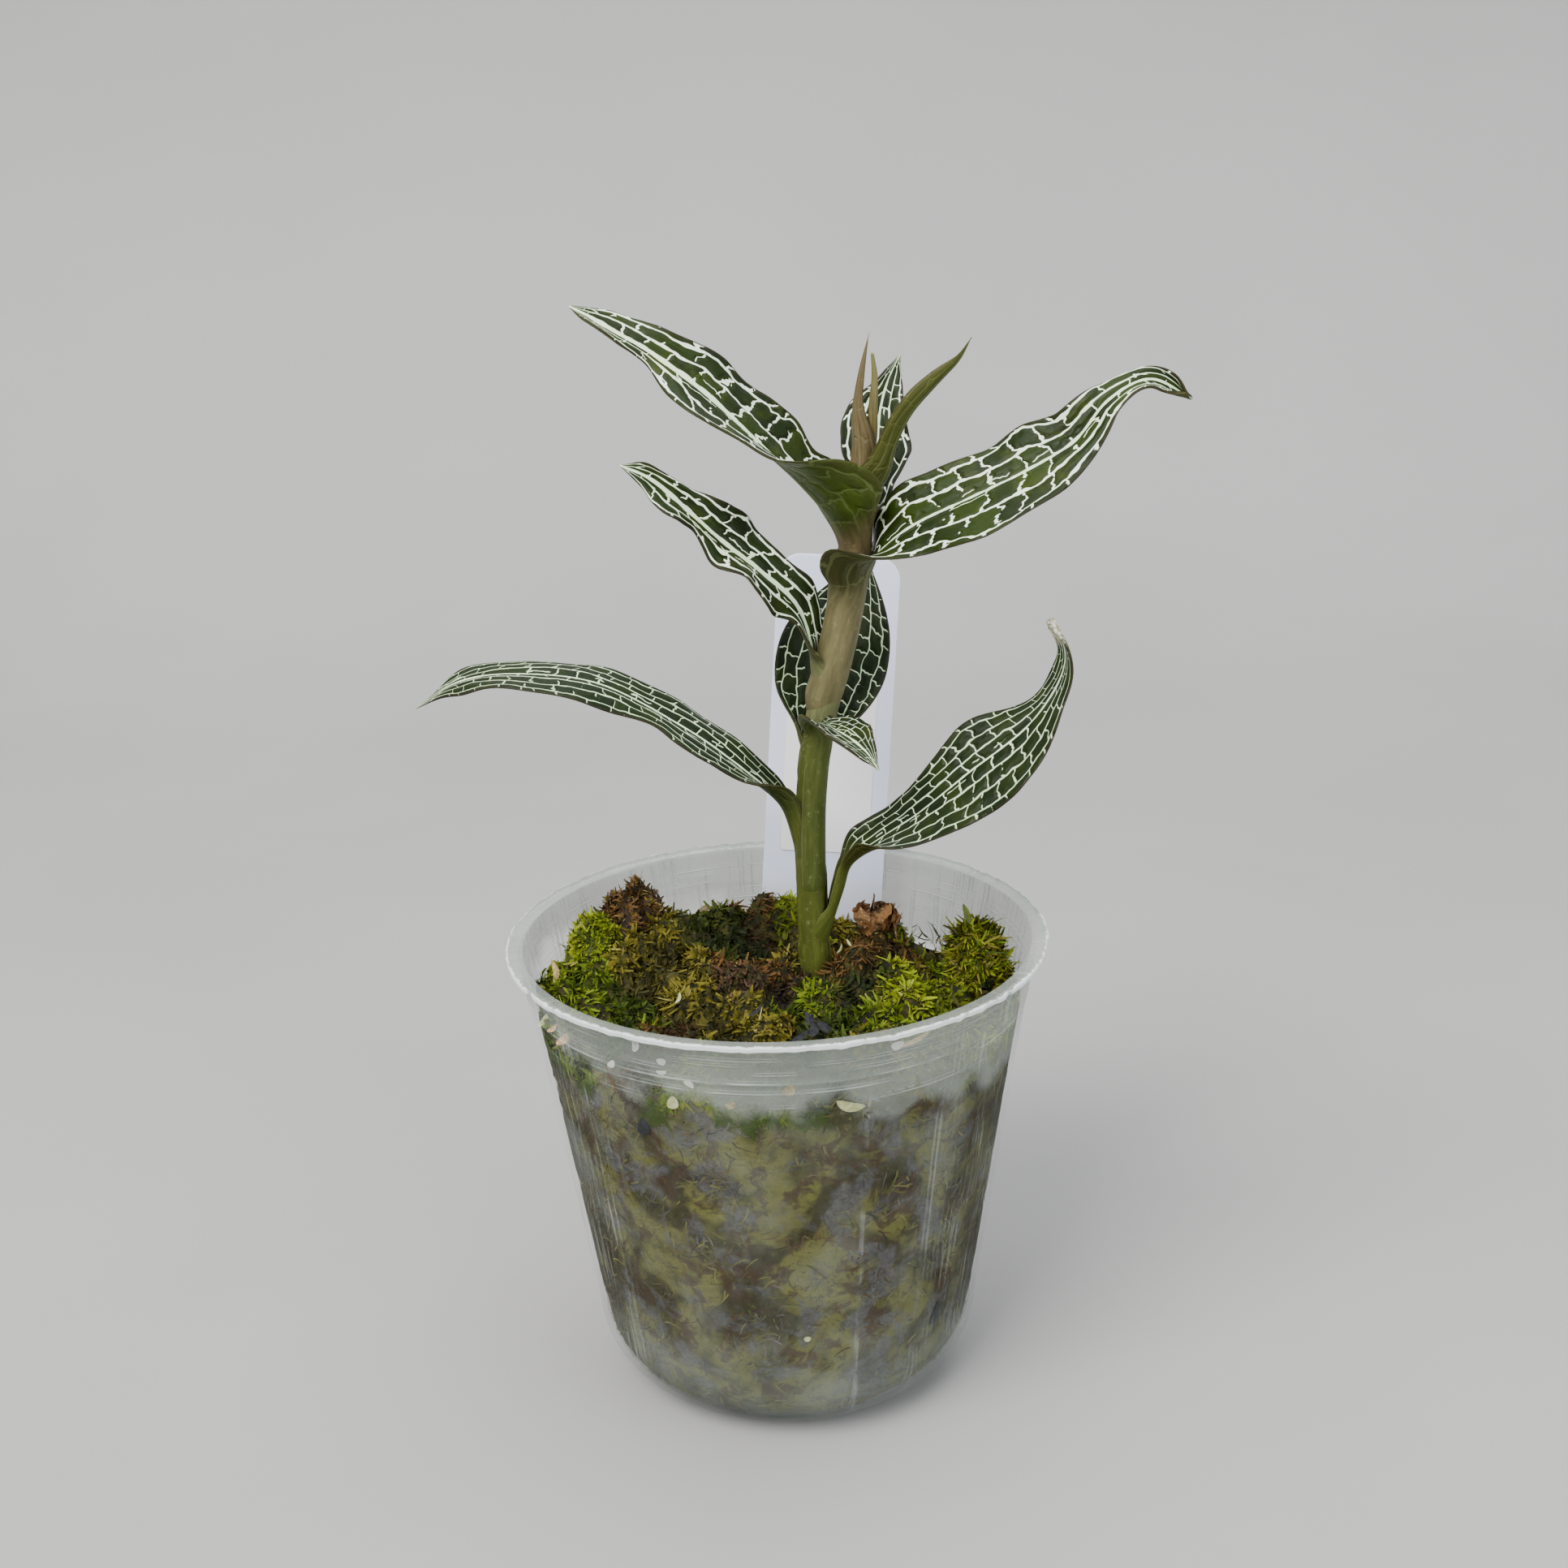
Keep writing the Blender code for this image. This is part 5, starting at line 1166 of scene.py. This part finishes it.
def build_strands():
    draw = random.Random(20)
    for kind in ("brown", "bright", "green"):
        CORE_MATERIALS[kind] = core_material(kind)
    groups = {kind: [] for kind in MOSS_COLOURS}
    bed_strands(draw, groups)
    build_tufts(draw, groups)
    side = {kind: [] for kind in MOSS_COLOURS}
    side_fibres(draw, side)
    for kind in MOSS_COLOURS:
        mat = strand_material(kind)
        stand_for(strand_mesh(f"moss_strands_{kind}", groups[kind], mat), MOSS_SLOTS[kind])
        if side[kind]:
            stand_for(strand_mesh(f"moss_fibres_{kind}", side[kind], fibre_material(kind)), MOSS_SLOTS[kind])


# Chip of bark, flakes and loose bits

def chip_material():
    """Dry orange-brown bark with pale torn faces and dark cracks."""
    m = Look("dry_bark_skin")
    place = m.place()
    broad = m.noise(place, 380.0, 4.0, 0.65, 0.8)
    fine = m.noise(place, 1500.0, 4.0, 0.7)
    colour = m.mix(m.step(broad, 0.38, 0.58), (0.040, 0.017, 0.007), (0.30, 0.135, 0.036))
    colour = m.mix(m.step(fine, 0.54, 0.66, 0.0, 0.85), colour, (0.58, 0.40, 0.20))
    colour = m.mix(m.step(fine, 0.30, 0.42, 0.9, 0.0), colour, (0.025, 0.010, 0.005))
    return m.finish(colour, m.step(fine, 0.3, 0.7, 0.6, 0.9), m.bump(fine, 0.0005))


def build_chip():
    """A ragged core with torn flakes standing off it."""
    draw = random.Random(5)
    base = moss_height(*CHIP_CENTRE)
    centre = np.array([CHIP_CENTRE[0], CHIP_CENTRE[1], base + 1.2])
    size = np.array([1.7, 1.3, 1.7])
    rows, sides = 40, 64
    points = []
    for i in range(rows + 1):
        for k in range(sides):
            way = np.array(direction(360 * k / sides, 180 * i / rows - 90))
            crumb = noise.fractal(Vector(way) * 1.7 + Vector((4.0, 0.0, 0.0)), 1.0, 2.0, 4)
            facet = noise.voronoi(Vector(way) * 2.1 + Vector((1.0, 2.0, 3.0)))[0][0]
            points.append(centre + size * way * (0.95 + 0.45 * crumb - 0.40 * facet))
    faces = grid_faces(rows + 1, sides, closed=True)
    for _ in range(22):
        way = unit(np.array([draw.gauss(0, 1), draw.gauss(0, 1), draw.gauss(0.3, 0.6)]))
        ahead = unit(np.array([0.0, 0.0, 1.0]) - 0.6 * way * way[2] + scatter(draw, 0.35))
        side = unit(np.cross(way, ahead) + scatter(draw, 0.2))
        start = len(points)
        flake, flake_faces = bit_points(centre + size * way * draw.uniform(0.8, 1.35), ahead, side, way,
                                        draw.uniform(2.0, 3.6), draw.uniform(1.4, 2.6), 0.5, 0.45)
        points.extend(flake)
        faces += [tuple(start + k for k in corners) for corners in flake_faces]
    stand_for(add_mesh("bark_chip_fine", points, faces, chip_material()), "dry_bark", "bark_chip")


# Flat bits caught between the moss and the wall, or lying on the moss:
# bearing and height on the wall (or x and y on the moss), length, width, turn, kind
WALL_BITS = (
    (-121.2, 50.3, 1.9, 0.8, 80, "pale"), (-115.4, 48.9, 1.1, 0.8, 10, "pale"),
    (-115.7, 47.6, 1.2, 0.5, 10, "pale"), (-64.8, 50.0, 1.5, 1.0, 0, "pale"),
    (-75.1, 43.8, 3.3, 1.1, -20, "cream"), (-113.9, 44.1, 1.7, 1.2, 60, "cream"),
    (-88.1, 46.4, 1.5, 1.2, 30, "tan"), (-122.6, 40.2, 2.2, 1.5, 70, "black"),
    (-41.9, 12.7, 3.0, 1.5, 75, "black"), (-84.8, 14.7, 0.8, 0.7, 0, "cream"),
    (-100.7, 44.6, 1.2, 0.8, 20, "tan"), (-129.0, 47.0, 1.4, 0.7, 40, "pale"),
    (-109.5, 46.8, 1.2, 0.7, 150, "pale"), (62.0, 43.5, 2.6, 0.9, 20, "cream"),
    (110.0, 45.0, 2.0, 1.2, -30, "tan"), (150.0, 30.0, 2.4, 1.4, 50, "black"),
    (20.0, 38.0, 2.6, 1.0, -15, "cream"),
)
MOSS_BITS = (
    (-10.6, -10.5, 1.4, 0.4, 70, "cream", 1.1), (-21.8, 8.3, 3.2, 0.35, 75, "pale", 1.5),
    (13.8, -17.3, 4.6, 1.0, 8, "tan", 0.9), (-24.5, -9.0, 1.2, 1.1, 20, "crumb", 0.8),
    (-23.0, -12.2, 1.6, 1.3, 50, "crumb", 0.8), (-25.6, -6.8, 1.8, 0.9, 60, "cream", 0.8),
    (7.0, 1.2, 1.3, 0.3, 60, "cream", 1.4), (8.0, -1.6, 1.2, 0.3, 110, "cream", 0.9),
    (2.2, -18.0, 2.0, 1.1, 20, "black", 0.9), (3.6, -18.6, 1.7, 1.0, 80, "black", 1.2),
    (4.8, -18.0, 1.8, 1.2, 140, "black", 0.8), (3.2, -17.2, 1.6, 0.9, 100, "black", 1.5),
    (-24.8, 0.5, 3.6, 0.7, 100, "tan", 1.4), (4.2, 17.6, 2.8, 0.5, 40, "tan", 2.2),
    (21.4, 1.6, 4.2, 0.9, 88, "leafy", 5.4), (-2.4, -12.4, 2.0, 0.6, 30, "black", 1.0),
)
BIT_COLOURS = {
    "pale": ((0.72, 0.72, 0.66), (0.88, 0.87, 0.80)), "cream": ((0.32, 0.33, 0.13), (0.52, 0.52, 0.28)),
    "tan": ((0.22, 0.16, 0.05), (0.45, 0.34, 0.14)), "crumb": ((0.42, 0.20, 0.06), (0.66, 0.40, 0.18)),
    "black": ((0.004, 0.004, 0.006), (0.018, 0.019, 0.024)), "leafy": ((0.04, 0.06, 0.01), (0.12, 0.14, 0.02)),
}


def bit_material(kind):
    m = Look(f"bit_{kind}")
    low, high = BIT_COLOURS[kind]
    grain = m.noise(m.place(), 2200.0, 4.0, 0.65)
    return m.finish(m.mix(m.step(grain, 0.35, 0.65), low, high), m.step(grain, 0.3, 0.7, 0.5, 0.8),
                    m.bump(grain, 0.00015), specular_ior_level=0.25)


def bit_points(centre, ahead, side, up, length, width, rise, torn=0.0):
    """A small pointed flake with a raised middle, a curved length and, if torn, a jagged edge."""
    points = []
    rows, columns = (25, 9) if torn else (13, 7)
    for i in range(rows):
        t = 2 * i / (rows - 1) - 1
        for j in range(columns):
            s = 2 * j / (columns - 1) - 1
            jagged = 1 + torn * noise.noise(Vector((4.0 * t, 1.5 * (s > 0), 1.0)) + Vector(centre) * 3.0) * 1.6
            half = width / 2 * (1 - t * t) ** (0.6 if not torn else 0.35) * jagged + 0.01
            lift = rise * (0.5 * (1 - s * s) * (1 - t * t) + 0.8 * t * t * (t > 0))
            bow = 0.12 * length * t * t
            points.append(centre + ahead * (t * length / 2) + side * (s * half + bow) + up * lift)
    return points, grid_faces(rows, columns)


def build_bits():
    groups = {kind: ([], []) for kind in BIT_COLOURS}

    def put(kind, *shape):
        points, faces = bit_points(*shape)
        start = len(groups[kind][0])
        groups[kind][0].extend(points)
        groups[kind][1].extend([tuple(start + k for k in corners) for corners in faces])

    for bearing, height, length, width, tilt, kind in WALL_BITS:
        turn = math.radians(bearing)
        radius = float(wall_radius(height, WALL + 0.01))
        radial = np.array([math.cos(turn), math.sin(turn), 0.0])
        tangent = np.array([-math.sin(turn), math.cos(turn), 0.0])
        upward = np.array([0.15 * math.cos(turn), 0.15 * math.sin(turn), 1.0])
        a = math.radians(tilt)
        ahead = tangent * math.cos(a) + upward * math.sin(a)
        side = upward * math.cos(a) - tangent * math.sin(a)
        centre = np.array([radius * math.cos(turn), radius * math.sin(turn), height])
        put(kind, centre, ahead, side, -radial, length, width, 0.03)
    for x, y, length, width, heading, kind, lift in MOSS_BITS:
        a = math.radians(heading)
        steep = 1.0 if kind == "leafy" else 0.35
        ahead = unit(np.array([math.cos(a), math.sin(a), steep]))
        side = np.array([-math.sin(a), math.cos(a), 0.0])
        centre = np.array([x, y, moss_height(x, y) + lift])
        put(kind, centre, ahead, side, np.array([0.0, 0.0, 1.0]), length, width, 0.35)
    for kind, (points, faces) in groups.items():
        slot = "dry_bark" if kind in ("crumb", "black") else "moss_brown"
        stand_for(add_mesh(f"loose_bits_{kind}", points, faces, bit_material(kind)), slot)


# Label, sticker and stem

LABEL_WIDTH = 14.5
LABEL_LENGTH = 80.0
LABEL_THICKNESS = 0.6
LABEL_CORNER = 2.8
LABEL_POINT = 12.0
LABEL_SHOWN = 41.4
LABEL_FOOT = (5.4, 20.0, 48.3)
LABEL_LEAN_RIGHT = 4.5
LABEL_LEAN_BACK = 8.5
STICKER_WIDTH = 10.6
STICKER_LENGTH = 26.8
STICKER_RISE = 5.9
STICKER_SKIN = 0.12


def label_matrix():
    """Frame of the label: X across, Z up along it, its origin where it leaves the moss."""
    lean = Matrix.Rotation(math.radians(LABEL_LEAN_RIGHT), 4, "Y")
    back = Matrix.Rotation(math.radians(-LABEL_LEAN_BACK), 4, "X")
    return Matrix.Translation(Vector(LABEL_FOOT)) @ back @ lean


def rounded_corner(x, z, radius, first_angle):
    return [(x + radius * math.cos(math.radians(first_angle + 9 * k)),
             z + radius * math.sin(math.radians(first_angle + 9 * k))) for k in range(11)]


def add_plate(name, outline, front, back, bevel, mat):
    """A flat plate in the label's frame with softened edges."""
    count = len(outline)
    place = label_matrix()
    points = [place @ Vector((x, front, z)) for x, z in outline]
    points += [place @ Vector((x, back, z)) for x, z in outline]
    faces = [tuple(range(count)), tuple(range(2 * count - 1, count - 1, -1))]
    for k in range(count):
        n = (k + 1) % count
        faces.append((k, k + count, n + count, n))
    plate = add_mesh(name, points, faces, mat, smooth=False)
    soft = plate.modifiers.new("soft_edge", "BEVEL")
    soft.width = bevel * MM
    soft.segments = 3
    soft.limit_method = "ANGLE"
    bpy.context.view_layer.objects.active = plate
    bpy.ops.object.modifier_apply(modifier=soft.name)
    return plate


def label_material():
    """Lavender-white plastic, a little soiled near the moss, with fine scuffs."""
    m = Look("label_plastic_skin")
    x, y, z = m.parts(m.place())
    cloud = m.noise(m.place(), 160.0, 4.0)
    scuff = m.noise(m.stretch(m.place(), (900.0, 900.0, 120.0)), 1.0, 5.0, 0.7)
    colour = m.mix(m.step(cloud, 0.3, 0.7), (0.76, 0.79, 0.99), (0.80, 0.83, 0.99))
    colour = m.mix(m.step(z, 0.0475, 0.0525, 0.35, 0.0), colour, (0.42, 0.38, 0.24))
    return m.finish(colour, m.step(scuff, 0.3, 0.75, 0.30, 0.45), m.bump(scuff, 0.00003),
                    subsurface_weight=0.15)


def paper_material():
    """Plain matt sticker paper with faint fibres and no print."""
    m = Look("sticker_paper_skin")
    fibre = m.noise(m.stretch(m.place(), (1.0, 1.0, 0.6)), 1800.0, 5.0, 0.7, 0.8)
    cloud = m.noise(m.place(), 130.0, 3.0)
    colour = m.mix(m.step(cloud, 0.3, 0.7), (0.88, 0.885, 0.87), (0.92, 0.925, 0.91))
    colour = m.mix(m.step(fibre, 0.60, 0.75, 0.0, 0.25), colour, (0.66, 0.65, 0.60))
    return m.finish(colour, m.step(fibre, 0.3, 0.7, 0.5, 0.65), m.bump(fibre, 0.00003))


def build_label():
    half = LABEL_WIDTH / 2
    top = LABEL_SHOWN
    foot = LABEL_SHOWN - LABEL_LENGTH
    outline = [(0.0, foot), (half, foot + LABEL_POINT)]
    outline += rounded_corner(half - LABEL_CORNER, top - LABEL_CORNER, LABEL_CORNER, 0)
    outline += rounded_corner(LABEL_CORNER - half, top - LABEL_CORNER, LABEL_CORNER, 90)
    outline.append((-half, foot + LABEL_POINT))
    front = -LABEL_THICKNESS / 2
    plate = add_plate("plant_label_fine", outline, front, -front, 0.14, label_material())
    stand_for(plate, "label_plastic", "plant_label")
    side = STICKER_WIDTH / 2
    low = STICKER_RISE
    high = low + STICKER_LENGTH
    corner = 0.5
    outline = rounded_corner(side - corner, high - corner, corner, 0)
    outline += rounded_corner(corner - side, high - corner, corner, 90)
    outline += rounded_corner(corner - side, low + corner, corner, 180)
    outline += rounded_corner(side - corner, low + corner, corner, 270)
    sticker = add_plate("label_sticker_fine", outline, front - STICKER_SKIN, front, 0.03, paper_material())
    stand_for(sticker, "sticker_paper", "label_sticker")


def dress_stem():
    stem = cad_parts["stem"]
    stem.data.materials.clear()
    stem.data.materials.append(young_material("stem_skin"))
    stem.data.shade_smooth()


# Floor, light and camera

def stage_material():
    m = Look("stage_paper")
    cloud = m.noise(m.place(), 9.0, 3.0)
    colour = m.mix(m.step(cloud, 0.3, 0.7), (0.345, 0.342, 0.336), (0.37, 0.367, 0.361))
    return m.finish(colour, m.step(cloud, 0.3, 0.7, 0.65, 0.75))


def build_stage():
    """A pale sheet that lies under the pot and curves up behind it."""
    rows = []
    for y in np.linspace(-700, 260, 13):
        rows.append((y, 0.0))
    for step in range(1, 15):
        angle = math.pi / 2 * step / 14
        rows.append((260 + 180 * math.sin(angle), 180 * (1 - math.cos(angle))))
    rows.append((440.0, 900.0))
    points = [(x, y, z) for y, z in rows for x in np.linspace(-800, 800, 17)]
    stage = add_mesh("stage_sheet", points, grid_faces(len(rows), 17), stage_material())


def add_light(name, place, target, size, power, colour):
    data = bpy.data.lights.new(name, "AREA")
    data.shape = "RECTANGLE"
    data.size, data.size_y = size
    data.energy = power
    data.color = colour
    light = bpy.data.objects.new(name, data)
    light.location = Vector(place)
    light.rotation_euler = (Vector(target) - Vector(place)).to_track_quat("-Z", "Y").to_euler()
    bpy.context.scene.collection.objects.link(light)


def build_light():
    world = bpy.data.worlds.new("studio")
    bpy.context.scene.world = world
    world.use_nodes = True
    back = world.node_tree.nodes["Background"]
    back.inputs["Color"].default_value = (0.90, 0.95, 1.0, 1.0)
    back.inputs["Strength"].default_value = 0.65
    middle = (0.0, 0.0, 0.07)
    add_light("key", (-0.35, -0.45, 0.75), middle, (0.50, 0.50), 14.0, (1.0, 0.98, 0.95))
    add_light("fill", (0.60, -0.50, 0.40), middle, (0.60, 0.60), 4.5, (0.94, 0.97, 1.0))
    add_light("top", (0.05, 0.15, 0.85), middle, (0.70, 0.70), 5.0, (1.0, 1.0, 1.0))


def build_camera():
    data = bpy.data.cameras.new("camera")
    data.lens = CAMERA_LENS
    data.sensor_width = CAMERA_SENSOR
    data.clip_start = 0.01
    camera = bpy.data.objects.new("camera", data)
    right = Vector(CAMERA_RIGHT).normalized()
    up = Vector(CAMERA_UP)
    up = (up - right * up.dot(right)).normalized()
    back = right.cross(up)
    camera.matrix_world = Matrix.Translation(Vector(CAMERA_PLACE) * MM) @ Matrix((right, up, back)).transposed().to_4x4()
    bpy.context.scene.collection.objects.link(camera)
    bpy.context.scene.camera = camera


build_camera()
build_leaves()
build_spear_inner()
build_pot()
build_moss()
build_strands()
build_chip()
build_bits()
build_label()
dress_stem()
build_stage()
build_light()
